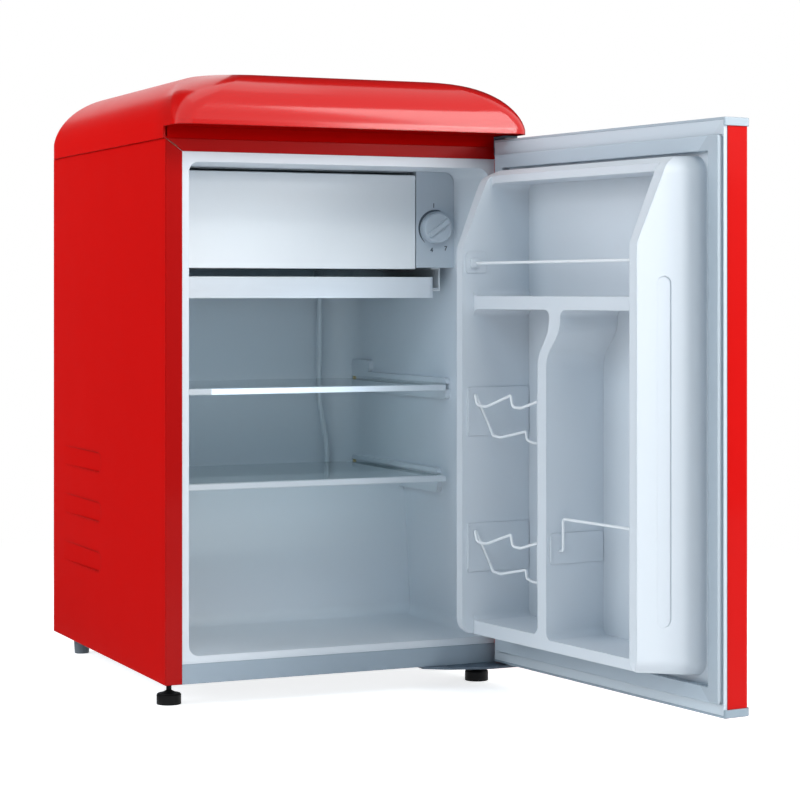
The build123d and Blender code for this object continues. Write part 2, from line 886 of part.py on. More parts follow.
# ---------------------------------------------------------------- freezer box, flap and drip tray
with BuildPart() as freezer_box:
    with BuildSketch(elevation(box_front)):
        rectangle(box_left, box_right, box_bottom_z, ceiling_z)
        fillet(vertices().sort_by(Axis.X)[:2], radius=box_corner)
    extrude(amount=-(box_back - box_front))
    with BuildSketch(elevation(box_front)):
        rectangle(box_left + box_wall, box_right - box_wall, box_bottom_z + box_wall, ceiling_z - box_wall)
        fillet(vertices().sort_by(Axis.X)[:2], radius=box_corner - box_wall)
    extrude(amount=-(box_back - box_front - box_wall), mode=Mode.SUBTRACT)
    # Ear that carries the flap's left pin
    pivot_flap_y = box_front - flap_front_gap - flap_thickness / 2
    pivot_flap_z = ceiling_z - flap_top_gap - flap_pivot_drop
    with BuildSketch(side(box_left)):
        with BuildLine():
            Polyline(
                (box_front, pivot_flap_z - ear_reach),
                (pivot_flap_y, pivot_flap_z - flap_pin_radius * 2),
                (pivot_flap_y, pivot_flap_z + flap_pin_radius * 2),
                (box_front + box_corner, pivot_flap_z + flap_pin_radius * 2),
                (box_front + box_corner, pivot_flap_z - ear_reach),
                close=True,
            )
        make_face()
        with Locations((pivot_flap_y, pivot_flap_z)):
            Circle(flap_pin_radius * 2)
        with Locations((pivot_flap_y, pivot_flap_z)):
            Circle(flap_pin_radius, mode=Mode.SUBTRACT)
    extrude(amount=box_wall)
freezer_box.part.label = "freezer_box"
export_step(freezer_box.part, "parts/freezer_box.step")

flap_left = box_left + box_wall + flap_play
flap_right = housing_left - flap_side_gap
flap_front = box_front - flap_front_gap - flap_thickness
flap_back = box_front - flap_front_gap
flap_low_z = box_bottom_z - flap_drop
flap_high_z = ceiling_z - flap_top_gap
with BuildPart() as freezer_flap:
    with BuildSketch(side(flap_left)):
        rectangle(flap_front, flap_back, flap_low_z, flap_high_z)
        fillet(vertices().group_by(Axis.Y)[-1], radius=flap_thickness / 2 - flap_play)
        fillet(vertices().group_by(Axis.Y)[0], radius=flap_play)
    extrude(amount=flap_right - flap_left)
    # The moulding is hollow at the back, inside a border
    with BuildSketch(elevation(flap_back)):
        rounded(flap_left + box_wall + flap_border, flap_right - flap_border, flap_low_z + flap_border,
                pivot_flap_z - flap_pin_radius - flap_border, flap_border)
    extrude(amount=flap_thickness - flap_skin, mode=Mode.SUBTRACT)
    for start, reach in ((flap_left, pin_engagement), (flap_right, -pin_engagement)):
        with BuildSketch(side(start)):
            with Locations((pivot_flap_y, pivot_flap_z)):
                Circle(flap_pin_radius + pin_clearance)
        extrude(amount=reach, mode=Mode.SUBTRACT)
freezer_flap.part.label = "freezer_flap"
export_step(freezer_flap.part, "parts/freezer_flap.step")

with BuildPart() as flap_hinge_pins:
    for start, end in (
        (box_left, flap_left + pin_engagement - flap_pin_play),
        (flap_right - pin_engagement + flap_pin_play, housing_left + housing_wall),
    ):
        with BuildSketch(side(start)):
            with Locations((pivot_flap_y, pivot_flap_z)):
                Circle(flap_pin_radius)
        extrude(amount=end - start)
flap_hinge_pins.part.label = "flap_hinge_pins"
export_step(flap_hinge_pins.part, "parts/flap_hinge_pins.step")

with BuildPart() as control_housing:
    with BuildSketch(elevation(housing_front)):
        rectangle(housing_left, half_opening, box_bottom_z, ceiling_z)
        fillet(vertices().sort_by(Axis.X)[2:].sort_by(Axis.Y)[-1], radius=housing_corner)
    extrude(amount=-(housing_back - housing_front))
    with BuildSketch(elevation(housing_front + housing_wall)):
        rectangle(housing_left + housing_wall, half_opening - housing_wall, box_bottom_z + housing_wall,
                  ceiling_z - housing_wall)
        fillet(vertices().sort_by(Axis.X)[2:].sort_by(Axis.Y)[-1], radius=housing_corner - housing_wall)
    extrude(amount=-(housing_back - housing_front), mode=Mode.SUBTRACT)
    with BuildSketch(elevation(housing_front)):
        with Locations((knob_x, knob_z)):
            Circle(shaft_radius + pin_clearance)
    extrude(amount=-housing_wall, mode=Mode.SUBTRACT)
    with BuildSketch(side(housing_left)):
        with Locations((pivot_flap_y, pivot_flap_z)):
            Circle(flap_pin_radius)
    extrude(amount=housing_wall, mode=Mode.SUBTRACT)
control_housing.part.label = "control_housing"
export_step(control_housing.part, "parts/control_housing.step")

thermostat_front = housing_front + housing_wall
thermostat_back = thermostat_front + thermostat_depth
with BuildPart() as thermostat:
    with BuildSketch(elevation(thermostat_front)):
        with Locations((knob_x, knob_z)):
            RectangleRounded(thermostat_width, thermostat_height, thermostat_corner)
            Circle(shaft_radius + pin_clearance, mode=Mode.SUBTRACT)
    extrude(amount=-thermostat_depth)
    with BuildSketch(elevation(thermostat_back)):
        with Locations((knob_x, knob_z)):
            RectangleRounded(thermostat_width, thermostat_height, thermostat_corner)
    extrude(amount=-housing_wall)
    # Blade terminals on its back
    with BuildSketch(elevation(thermostat_back + housing_wall)):
        with Locations((knob_x, knob_z - thermostat_height / 4)):
            with GridLocations(terminal_pitch, terminal_pitch, 3, 1):
                Rectangle(terminal_width, terminal_height)
    extrude(amount=-terminal_length)
thermostat.part.label = "thermostat"
export_step(thermostat.part, "parts/thermostat.step")

knob_back = housing_front - knob_gap
knob_face = knob_back - knob_height
with BuildPart() as thermostat_knob:
    with BuildSketch(elevation(knob_back)):
        with Locations((knob_x, knob_z)):
            Circle(knob_radius)
    extrude(amount=knob_height, taper=knob_taper)
    fillet(faces().sort_by(Axis.Y)[0].edges(), radius=knob_edge_round)
    # Grip bar across the knob's face
    with BuildSketch(elevation(knob_face)):
        with Locations(Location((knob_x, knob_z, 0), knob_turn)):
            SlotOverall(2 * (knob_radius - grip_inset), grip_width)
    extrude(amount=grip_height, taper=grip_taper)
    with BuildSketch(elevation(knob_back)):
        with Locations((knob_x, knob_z)):
            Circle(shaft_radius)
    extrude(amount=knob_height - knob_socket_floor, mode=Mode.SUBTRACT)
thermostat_knob.part.label = "thermostat_knob"
export_step(thermostat_knob.part, "parts/thermostat_knob.step")

with BuildPart() as thermostat_shaft:
    with BuildSketch(elevation(knob_face + knob_socket_floor)):
        with Locations((knob_x, knob_z)):
            Circle(shaft_radius)
    extrude(amount=-(thermostat_back - housing_wall - knob_face - knob_socket_floor))
thermostat_shaft.part.label = "thermostat_shaft"
export_step(thermostat_shaft.part, "parts/thermostat_shaft.step")

tray_top_z = box_bottom_z - tray_top_gap
tray_low_z = tray_top_z - tray_height
tray_lip_z = tray_low_z + tray_lip_rise
with BuildPart() as drip_tray:
    with BuildSketch(plan(tray_low_z)):
        rounded(tray_left, tray_right, tray_front, tray_back, tray_corner)
    extrude(amount=tray_height)
    with BuildSketch(plan(tray_low_z + tray_wall)):
        rounded(tray_left + tray_wall, tray_right - tray_wall, tray_front + tray_wall, tray_back - tray_wall,
                tray_corner - tray_wall)
    extrude(amount=tray_height, mode=Mode.SUBTRACT)
    for edge, hand in ((tray_left, -1), (tray_right, 1)):
        with BuildSketch(side(edge)):
            rectangle(runner_front, tray_back - tray_lip_end, tray_lip_z, tray_lip_z + tray_wall)
        extrude(amount=hand * tray_lip_width)
drip_tray.part.label = "drip_tray"
export_step(drip_tray.part, "parts/drip_tray.step")

runner_foot_z = tray_lip_z - slide_gap - runner_wall
with BuildPart() as drip_tray_runners:
    for edge, hand in ((tray_left, -1), (tray_right, 1)):
        near, far = sorted((edge + hand * runner_play, edge + hand * runner_width))
        with BuildSketch(elevation(runner_front)):
            rectangle(near, far, runner_foot_z, box_bottom_z)
            rectangle(near, far, runner_foot_z + runner_wall, box_bottom_z - runner_wall, mode=Mode.SUBTRACT)
            web = sorted((edge + hand * (runner_width - runner_wall), edge + hand * runner_width))
            rectangle(web[0], web[1], runner_foot_z, box_bottom_z)
        extrude(amount=-(runner_back - runner_front))
drip_tray_runners.part.label = "drip_tray_runners"
export_step(drip_tray_runners.part, "parts/drip_tray_runners.step")


# ---------------------------------------------------------------- glass shelves
glass_half = half_opening - rail_depth + rail_slot_depth - shelf_side_play
trim_half = half_opening - rail_depth - trim_wall
for name, slot in (("upper_shelf", upper_slot_z), ("lower_shelf", lower_slot_z)):
    glass_z = slot + slide_gap
    with BuildPart() as shelf_glass_pane:
        with BuildSketch(plan(glass_z)):
            rectangle(-glass_half, glass_half, shelf_front, shelf_back)
            fillet(vertices().group_by(Axis.Y)[-1], radius=shelf_corner)
        extrude(amount=shelf_glass)
        # The pane is narrower in front, where the trim clips on
        for hand in (-1, 1):
            with BuildSketch(plan(glass_z)):
                with Locations((hand * glass_half, shelf_front)):
                    Rectangle(2 * (glass_half - trim_half + trim_wall), 2 * (trim_depth + trim_wall))
            extrude(amount=shelf_glass, mode=Mode.SUBTRACT)
    shelf_glass_pane.part.label = name + "_glass"
    export_step(shelf_glass_pane.part, "parts/" + name + "_glass.step")
    with BuildPart() as shelf_trim:
        with BuildSketch(side(-trim_half)):
            rounded(shelf_front - trim_wall, shelf_front + trim_depth, glass_z - trim_wall,
                    glass_z + shelf_glass + trim_wall, trim_round)
            rectangle(shelf_front, shelf_front + trim_depth, glass_z, glass_z + shelf_glass,
                      mode=Mode.SUBTRACT)
        extrude(amount=2 * trim_half)
        with BuildSketch(side(-trim_half)):
            rectangle(shelf_front, shelf_front + trim_depth, glass_z, glass_z + shelf_glass)
        extrude(amount=trim_wall)
        with BuildSketch(side(trim_half)):
            rectangle(shelf_front, shelf_front + trim_depth, glass_z, glass_z + shelf_glass)
        extrude(amount=-trim_wall)
    shelf_trim.part.label = name + "_trim"
    export_step(shelf_trim.part, "parts/" + name + "_trim.step")


# ---------------------------------------------------------------- compressor bay
grommet_places = [(compressor_x + i * grommet_pitch_x / 2, compressor_y + j * grommet_pitch_y / 2)
                  for i in (-1, 1) for j in (-1, 1)]

with BuildPart() as compressor:
    with BuildSketch(side(compressor_x)):
        with BuildLine():
            Polyline(
                (compressor_y, compressor_bottom_z),
                (compressor_y + compressor_radius, compressor_bottom_z),
                (compressor_y + compressor_radius, compressor_bottom_z + compressor_height),
                (compressor_y, compressor_bottom_z + compressor_height),
                close=True,
            )
        make_face()
        fillet(vertices().group_by(Axis.Y)[-1].sort_by(Axis.X)[-1:], radius=compressor_dome)
    revolve(axis=Axis((compressor_x, compressor_y, 0), (0, 0, 1)))
    with BuildSketch(plan(compressor_bottom_z - compressor_plate)):
        with Locations((compressor_x, compressor_y)):
            RectangleRounded(grommet_pitch_x + 3 * grommet_radius, grommet_pitch_y + 2 * grommet_radius,
                             plate_corner)
        with Locations(*grommet_places):
            Circle(bolt_radius, mode=Mode.SUBTRACT)
    extrude(amount=compressor_plate)
compressor.part.label = "compressor"
export_step(compressor.part, "parts/compressor.step")

with BuildPart() as compressor_grommets:
    with BuildSketch(plan(base_top)):
        with Locations(*grommet_places):
            Circle(grommet_radius)
    extrude(amount=compressor_bottom_z - compressor_plate - base_top)
    with BuildSketch(plan(compressor_bottom_z - compressor_plate)):
        with Locations(*grommet_places):
            Circle(bolt_radius)
    extrude(amount=compressor_plate)
compressor_grommets.part.label = "compressor_grommets"
export_step(compressor_grommets.part, "parts/compressor_grommets.step")

with BuildPart() as terminal_cover:
    with BuildSketch(plan(compressor_bottom_z + cover_rise)):
        with Locations((compressor_x - compressor_radius - cover_stand, compressor_y)):
            RectangleRounded(cover_width, cover_depth, cover_corner)
        with Locations((compressor_x, compressor_y)):
            Circle(compressor_radius + slide_gap, mode=Mode.SUBTRACT)
    extrude(amount=cover_height)
terminal_cover.part.label = "terminal_cover"
export_step(terminal_cover.part, "parts/terminal_cover.step")

evaporation_z = compressor_bottom_z + compressor_height
with BuildPart() as evaporation_tray:
    with BuildSketch(plan(evaporation_z)):
        with Locations((compressor_x, compressor_y)):
            RectangleRounded(evaporation_width, evaporation_depth, evaporation_corner)
    extrude(amount=evaporation_height, taper=-evaporation_flare)
    with BuildSketch(plan(evaporation_z + tray_wall)):
        with Locations((compressor_x, compressor_y)):
            RectangleRounded(evaporation_width - 2 * tray_wall, evaporation_depth - 2 * tray_wall,
                             evaporation_corner - tray_wall)
    extrude(amount=evaporation_height, taper=-evaporation_flare, mode=Mode.SUBTRACT)
evaporation_tray.part.label = "evaporation_tray"
export_step(evaporation_tray.part, "parts/evaporation_tray.step")

with BuildPart() as filter_drier:
    with BuildSketch(Plane.XZ.offset(-condenser_y)):
        with BuildLine():
            Polyline(
                (condenser_left, drier_top_z),
                (condenser_left + tube_radius, drier_top_z),
                (condenser_left + drier_radius, drier_top_z - drier_shoulder),
                (condenser_left + drier_radius, drier_top_z - drier_length + drier_shoulder),
                (condenser_left + drier_nozzle, drier_top_z - drier_length),
                (condenser_left, drier_top_z - drier_length),
                close=True,
            )
        make_face()
    revolve(axis=Axis((condenser_left, condenser_y, 0), (0, 0, 1)))
filter_drier.part.label = "filter_drier"
export_step(filter_drier.part, "parts/filter_drier.step")

# Suction line: out of the freezer box's back, down the liner's corner, through the hump to the compressor
to_line = Vector(line_x - compressor_x, line_y - compressor_y)
line_reach = to_line.normalized() * compressor_radius
line_route = [
    (box_right - line_box_inset, box_back, ceiling_z - line_box_drop),
    (box_right - line_box_inset, line_y, ceiling_z - line_box_drop),
    (line_x - line_bow[0], line_y, ceiling_z - line_bend_drops[0]),
    (line_x - line_bow[1], line_y, ceiling_z - line_bend_drops[1]),
    (line_x, line_y, hump_top + line_foot_rise),
    (line_x, line_y, suction_z),
    (compressor_x + line_reach.X, compressor_y + line_reach.Y, suction_z),
]
with BuildPart() as refrigerant_line:
    with BuildLine():
        FilletPolyline(*line_route, radius=list(line_bends))
    with BuildSketch(elevation(box_back)):
        with Locations((line_route[0][0], line_route[0][2])):
            Circle(line_radius)
    sweep()
refrigerant_line.part.label = "refrigerant_line"
export_step(refrigerant_line.part, "parts/refrigerant_line.step")


# ---------------------------------------------------------------- feet
for name, stem_place in zip(("front_left_foot", "front_right_foot"), stem_places):
    with BuildPart() as levelling_foot:
        with BuildSketch(plan(0)):
            with Locations(stem_place):
                Circle(foot_radius)
        extrude(amount=foot_pad_height)
        fillet(faces().sort_by(Axis.Z)[-1].edges(), radius=foot_pad_round)
        with BuildSketch(plan(foot_pad_height)):
            with Locations(stem_place):
                Circle(foot_shoulder_radius)
        with BuildSketch(plan(foot_pad_height + foot_shoulder_height)):
            with Locations(stem_place):
                Circle(stem_radius)
        loft()
        with BuildSketch(plan(foot_pad_height)):
            with Locations(stem_place):
                Circle(stem_radius)
        extrude(amount=stem_top_z - foot_pad_height)
    levelling_foot.part.label = name
    export_step(levelling_foot.part, "parts/" + name + ".step")

with BuildPart() as foot_nuts:
    with BuildSketch(plan(base_top)):
        with Locations(*stem_places):
            RegularPolygon(foot_nut_radius, 6)
            Circle(stem_radius + pin_clearance, mode=Mode.SUBTRACT)
    extrude(amount=foot_nut_height)
foot_nuts.part.label = "foot_nuts"
export_step(foot_nuts.part, "parts/foot_nuts.step")

with BuildPart() as rear_feet:
    for hand in (-1, 1):
        with BuildSketch(plan(0)):
            with Locations((hand * rear_foot_x, rear_foot_y)):
                Circle(rear_foot_radius)
        extrude(amount=floor_gap, taper=-rear_foot_flare)
rear_feet.part.label = "rear_feet"
export_step(rear_feet.part, "parts/rear_feet.step")


# ---------------------------------------------------------------- hinges on the cabinet
with BuildPart() as top_hinge_bracket:
    with BuildSketch(elevation(front_y)):
        rounded(bracket_left, bracket_right, panel_top - bracket_drop, bracket_leg_z, bracket_corner)
        with Locations(*bracket_screws):
            Circle(screw_radius, mode=Mode.SUBTRACT)
    extrude(amount=bracket_thickness)
    with BuildSketch(plan(bracket_leg_z)):
        rectangle(bracket_left, bracket_right, pivot_y - hinge_pin_radius - bracket_nose, front_y)
        fillet(vertices().group_by(Axis.Y)[0], radius=bracket_nose)
        with Locations((pivot_x, pivot_y)):
            Circle(hinge_pin_radius, mode=Mode.SUBTRACT)
    extrude(amount=-bracket_thickness)
top_hinge_bracket.part.label = "top_hinge_bracket"
export_step(top_hinge_bracket.part, "parts/top_hinge_bracket.step")

with BuildPart() as bottom_hinge_plate:
    with BuildSketch(plan(base_z - hinge_plate_thickness)):
        with BuildLine():
            Polyline(
                (hinge_plate_left, front_y),
                (hinge_plate_left + hinge_plate_chamfer, front_y - plate_shoulder_front),
                (half_width - plate_wide_front, hinge_plate_front),
                (bracket_right, hinge_plate_front),
                (bracket_right, hinge_plate_back),
                (half_width - plate_wide_back, hinge_plate_back),
                (hinge_plate_left + hinge_plate_chamfer, front_y + plate_shoulder_back),
                (hinge_plate_left, front_y + hinge_plate_chamfer),
                close=True,
            )
        make_face()
        fillet(vertices(), radius=hinge_plate_corner)
        with Locations((foot_x, front_foot_y)):
            Circle(stem_radius + stem_hole_gap, mode=Mode.SUBTRACT)
        with Locations((pivot_x, pivot_y)):
            Circle(hinge_pin_radius, mode=Mode.SUBTRACT)
        with Locations(*plate_screws):
            Circle(screw_radius, mode=Mode.SUBTRACT)
        with Locations((hinge_plate_left + plate_slot_inset, front_y - plate_slot_width / 2)):
            SlotOverall(plate_slot_length, plate_slot_width, mode=Mode.SUBTRACT)
    extrude(amount=hinge_plate_thickness)
bottom_hinge_plate.part.label = "bottom_hinge_plate"
export_step(bottom_hinge_plate.part, "parts/bottom_hinge_plate.step")

with BuildPart() as hinge_screws:
    with BuildSketch(elevation(front_y - bracket_thickness)):
        with Locations(*bracket_screws):
            Circle(screw_head_radius)
    extrude(amount=screw_head_height)
    with BuildSketch(elevation(front_y - bracket_thickness)):
        with Locations(*bracket_screws):
            Circle(screw_radius)
    extrude(amount=-screw_length)
    with BuildSketch(plan(base_z - hinge_plate_thickness)):
        with Locations(*plate_screws):
            Circle(screw_head_radius)
    extrude(amount=-screw_head_height)
    with BuildSketch(plan(base_z - hinge_plate_thickness)):
        with Locations(*plate_screws):
            Circle(screw_radius)
    extrude(amount=screw_length + hinge_plate_thickness)
hinge_screws.part.label = "hinge_screws"
export_step(hinge_screws.part, "parts/hinge_screws.step")

bush_radius = hinge_pin_radius + pin_clearance + bush_wall
top_pin_low_z = door_top_z - bush_length + pin_end_gap
bottom_pin_high_z = door_bottom_z + bush_length - pin_end_gap
with BuildPart() as top_hinge_pin:
    with BuildSketch(plan(top_pin_low_z)):
        with Locations((pivot_x, pivot_y)):
            Circle(hinge_pin_radius)
    extrude(amount=bracket_leg_z - top_pin_low_z)
top_hinge_pin.part.label = "top_hinge_pin"
export_step(top_hinge_pin.part, "parts/top_hinge_pin.step")

with BuildPart() as bottom_hinge_pin:
    with BuildSketch(plan(base_z - hinge_plate_thickness)):
        with Locations((pivot_x, pivot_y)):
            Circle(hinge_pin_radius)
    extrude(amount=bottom_pin_high_z - base_z + hinge_plate_thickness)
bottom_hinge_pin.part.label = "bottom_hinge_pin"
export_step(bottom_hinge_pin.part, "parts/bottom_hinge_pin.step")


# ---------------------------------------------------------------- door, drawn shut
door_open = Pos(pivot_x, pivot_y, 0) * Rot(0, 0, rest_angle) * Pos(-pivot_x, -pivot_y, 0)
cap_low_top_z = door_bottom_z + end_cap_height
cap_high_low_z = door_top_z - end_cap_height
outer_y = door_inner - door_edge_depth


def across(u):
    """X of a place on the shut door, measured from its hinge edge."""
    return door_half - u


def out(v):
    """Y of a place on the shut door, measured into the cabinet from the door's inner plane."""
    return door_inner + v


def door_outline(growth):
    """Outer left corner, bowed front and outer right corner of the door's plan outline."""
    return (
        (-door_half - growth, outer_y - growth),
        (0.0, outer_y - door_bow - growth),
        (door_half + growth, outer_y - growth),
    )


with BuildPart() as door_skin:
    with BuildSketch(plan(cap_low_top_z)):
        with BuildLine():
            front_arc = ThreePointArc(*door_outline(0.0))
            Polyline(front_arc @ 1, (door_half, door_inner - skin_step),
                     (-door_half, door_inner - skin_step), front_arc @ 0)
        make_face()
        fillet(vertices().group_by(Axis.Y)[0], radius=door_edge_round)
    extrude(amount=cap_high_low_z - cap_low_top_z)
    with BuildSketch(plan(cap_low_top_z)):
        with BuildLine():
            back_arc = ThreePointArc(*door_outline(-door_sheet))
            Polyline(back_arc @ 1, (door_half - door_sheet, door_inner),
                     (-door_half + door_sheet, door_inner), back_arc @ 0)
        make_face()
        fillet(vertices().group_by(Axis.Y)[0], radius=door_edge_round - door_sheet)
    extrude(amount=cap_high_low_z - cap_low_top_z, mode=Mode.SUBTRACT)
door_skin.part.label = "door_skin"
door_skin.part.move(door_open)
export_step(door_skin.part, "parts/door_skin.step")

for name, low in (("door_top_cap", cap_high_low_z), ("door_bottom_cap", door_bottom_z)):
    with BuildPart() as end_cap:
        with BuildSketch(plan(low)):
            with BuildLine():
                cap_arc = ThreePointArc(*door_outline(end_cap_proud))
                Polyline(cap_arc @ 1, (door_half + end_cap_proud, out(frame_rise)),
                         (-door_half - end_cap_proud, out(frame_rise)), cap_arc @ 0)
            make_face()
            fillet(vertices().group_by(Axis.Y)[0], radius=door_edge_round)
            fillet(vertices().group_by(Axis.Y)[-1], radius=end_cap_corner)
            with Locations((pivot_x, pivot_y)):
                Circle(bush_radius, mode=Mode.SUBTRACT)
        extrude(amount=end_cap_height)
        outer_face = faces().sort_by(Axis.Z)[0 if low == door_bottom_z else -1]
        fillet(outer_face.outer_wire().edges(), radius=end_cap_round)
        # Rebate for the door frame, which covers most of the cap's inner side
        with BuildSketch(plan(low if low == cap_high_low_z else cap_low_top_z - frame_cover)):
            rectangle(-door_half + door_sheet, door_half - door_sheet, out(-frame_depth), out(frame_rise))
        extrude(amount=frame_cover, mode=Mode.SUBTRACT)
    end_cap.part.label = name
    end_cap.part.move(door_open)
    export_step(end_cap.part, "parts/" + name + ".step")

with BuildPart() as hinge_bushes:
    for low in (door_bottom_z, door_top_z - bush_length):
        with BuildSketch(plan(low)):
            with Locations((pivot_x, pivot_y)):
                Circle(bush_radius)
                Circle(hinge_pin_radius + pin_clearance, mode=Mode.SUBTRACT)
        extrude(amount=bush_length)
hinge_bushes.part.label = "hinge_bushes"
hinge_bushes.part.move(door_open)
export_step(hinge_bushes.part, "parts/hinge_bushes.step")

# Places of the gasket ring, from which the frame and the liner's flange take theirs
gasket_right = across(gasket_inset_hinge)
gasket_left = -door_half + gasket_inset_free
gasket_low = door_bottom_z + gasket_inset_bottom
gasket_high = door_top_z - gasket_inset_top

with BuildPart() as door_frame:
    with BuildSketch(elevation(out(frame_rise))):
        rounded(-door_half + door_sheet, door_half - door_sheet, cap_low_top_z - frame_cover,
                cap_high_low_z + frame_cover, frame_corner)
        rounded(gasket_left - gasket_seat_gap, gasket_right + gasket_seat_gap, gasket_low - gasket_seat_gap,
                gasket_high + gasket_seat_gap, gasket_corner, mode=Mode.SUBTRACT)
    extrude(amount=frame_rise + frame_depth)
    with BuildSketch(elevation(out(-liner_wall))):
        rectangle(-door_half + door_sheet, door_half - door_sheet, cap_low_top_z, cap_high_low_z)
        rounded(gasket_left + frame_ledge, gasket_right - frame_ledge, gasket_low + frame_ledge,
                gasket_high - frame_ledge, gasket_corner, mode=Mode.SUBTRACT)
    extrude(amount=frame_depth - liner_wall)
    with BuildSketch(plan(door_bottom_z)):
        with Locations((pivot_x, pivot_y)):
            Circle(bush_radius)
    extrude(amount=door_top_z - door_bottom_z, mode=Mode.SUBTRACT)
door_frame.part.label = "door_frame"
door_frame.part.move(door_open)
export_step(door_frame.part, "parts/door_frame.step")

with BuildPart() as door_gasket:
    for low, height, waist in (
        (0.0, gasket_foot, 0.0),
        (gasket_foot, gasket_neck, gasket_waist),
        (gasket_foot + gasket_neck, gasket_height - gasket_foot - gasket_neck, 0.0),
    ):
        inner = gasket_width - waist
        with BuildSketch(elevation(out(low + height))):
            rounded(gasket_left + waist, gasket_right - waist, gasket_low + waist, gasket_high - waist,
                    gasket_corner)
            rounded(gasket_left + inner, gasket_right - inner, gasket_low + inner, gasket_high - inner,
                    gasket_corner / 2, mode=Mode.SUBTRACT)
        extrude(amount=height)
    # The sealing face is rounded along both of its edges
    fillet(faces().sort_by(Axis.Y)[-1].edges(), radius=gasket_round)
door_gasket.part.label = "door_gasket"
door_gasket.part.move(door_open)
export_step(door_gasket.part, "parts/door_gasket.step")

# Door liner: two dikes with a bin above, a can column and a bottle column between them
with BuildPart() as door_liner:
    with BuildSketch(elevation(out(0.0))):
        rounded(gasket_left - slide_gap, gasket_right + slide_gap, gasket_low - slide_gap,
                gasket_high + slide_gap, gasket_corner)
    extrude(amount=liner_wall)
    # Tapered tub, trimmed to its side outline: upright in front, sloping back at the top
    with BuildSketch(elevation(out(0.0))):
        rounded(across(dike_base_free), across(dike_base_hinge), tub_low_z, tub_top_z, tub_corner)
    with BuildSketch(elevation(out(dike_height))):
        rounded(across(dike_crest_free), across(dike_crest_hinge), tub_crest_low_z, tub_crest_top_z,
                tub_corner)
    loft()
    with BuildSketch(side(-door_half)):
        with BuildLine():
            Polyline(
                (out(-liner_wall), gasket_low - liner_wall),
                (out(0.0), gasket_low - liner_wall),
                (out(0.0), tub_low_z),
                (out(dike_height), tub_crest_low_z),
                (out(dike_height), slope_low_z),
                (out(slope_high_v), slope_high_z),
                (out(slope_end_v), tub_top_z),
                (out(0.0), tub_top_z),
                (out(0.0), gasket_high + liner_wall),
                (out(-liner_wall), gasket_high + liner_wall),
                close=True,
            )
        make_face()
        crest = vertices().filter_by_position(Axis.X, out(dike_height) - 1, out(dike_height) + 1)
        fillet(crest, radius=dike_foot_round)
        shoulder = vertices().filter_by_position(Axis.X, out(slope_high_v) - 1, out(slope_high_v) + 1)
        fillet(shoulder, radius=dike_shoulder_round)
    extrude(amount=door_width, mode=Mode.INTERSECT)
    # Recessed back of the bins
    with BuildSketch(elevation(out(-liner_wall))):
        rounded(across(dike_inner_free) - pocket_margin, across(dike_inner_hinge) + pocket_margin,
                can_floor_z - pocket_corner, top_pocket_high_z + pocket_margin, pocket_corner)
    extrude(amount=recess_depth)
    # Between the dikes the lips, the divider and the top ridge stand lower
    with BuildSketch(side(across(dike_inner_free))):
        with BuildLine():
            Polyline(
                (out(lip_depth), tub_low_z - recess_depth),
                (out(lip_depth), top_pocket_low_z + ridge_fall),
                (out(ridge_depth), top_pocket_high_z),
                (out(ridge_depth - ridge_fall), tub_top_z + recess_depth),
                (out(dike_height + recess_depth), tub_top_z + recess_depth),
                (out(dike_height + recess_depth), tub_low_z - recess_depth),
                close=True,
            )
        make_face()
    extrude(amount=dike_inner_free - dike_inner_hinge, mode=Mode.SUBTRACT)
    # Bin under the sloping tops of the dikes
    with BuildSketch(elevation(out(-recess_depth))):
        rounded(across(dike_inner_free), across(dike_inner_hinge), top_pocket_low_z, top_pocket_high_z,
                pocket_corner)
    extrude(amount=-recess_depth - dike_height, mode=Mode.SUBTRACT)
    # Can column on the hinge side of the divider
    with BuildSketch(elevation(out(-recess_depth))):
        with BuildLine():
            near_bend = Spline(
                (across(divider_left), divider_bend_z), (across(divider_top_left), divider_top_z),
                tangents=[(0, 1), (0, 1)])
            Polyline(near_bend @ 1, (across(divider_top_left), column_top_z),
                     (across(dike_inner_hinge), column_top_z), (across(dike_inner_hinge), can_floor_z),
                     (across(divider_left), can_floor_z), near_bend @ 0)
        make_face()
        fillet(vertices().group_by(Axis.Y)[0], radius=pocket_corner)
        fillet(vertices().group_by(Axis.Y)[-1], radius=divider_flare)
    extrude(amount=-recess_depth - dike_height, mode=Mode.SUBTRACT)
    # Bottle column on the free side of the divider
    with BuildSketch(elevation(out(-recess_depth))):
        with BuildLine():
            far_bend = Spline(
                (across(divider_right), divider_bend_z), (across(divider_top_right), divider_top_z),
                tangents=[(0, 1), (0, 1)])
            Polyline(far_bend @ 1, (across(divider_top_right), column_top_z),
                     (across(dike_inner_free), column_top_z), (across(dike_inner_free), bottle_floor_z),
                     (across(divider_right), bottle_floor_z), far_bend @ 0)
        make_face()
        fillet(vertices().group_by(Axis.Y)[0], radius=pocket_corner)
        fillet(vertices().group_by(Axis.Y)[-1], radius=divider_flare)
    extrude(amount=-recess_depth - dike_height, mode=Mode.SUBTRACT)
    # Long shallow bead in the outer wall of the free dike
    wall_run = Vector(dike_base_free - dike_crest_free, dike_height).normalized()
    wall_x = across(dike_base_free) + (dike_base_free - dike_crest_free) * bead_v / dike_height
    bead_plane = Plane(
        origin=(wall_x, out(bead_v), (bead_low_z + bead_high_z) / 2),
        x_dir=(0, 0, 1),
        z_dir=(-wall_run.Y, wall_run.X, 0),
    )
    with BuildSketch(bead_plane):
        SlotOverall(bead_high_z - bead_low_z, bead_width)
    extrude(amount=-bead_depth, mode=Mode.SUBTRACT)
door_liner.part.label = "door_liner"
door_liner.part.move(door_open)
export_step(door_liner.part, "parts/door_liner.step")

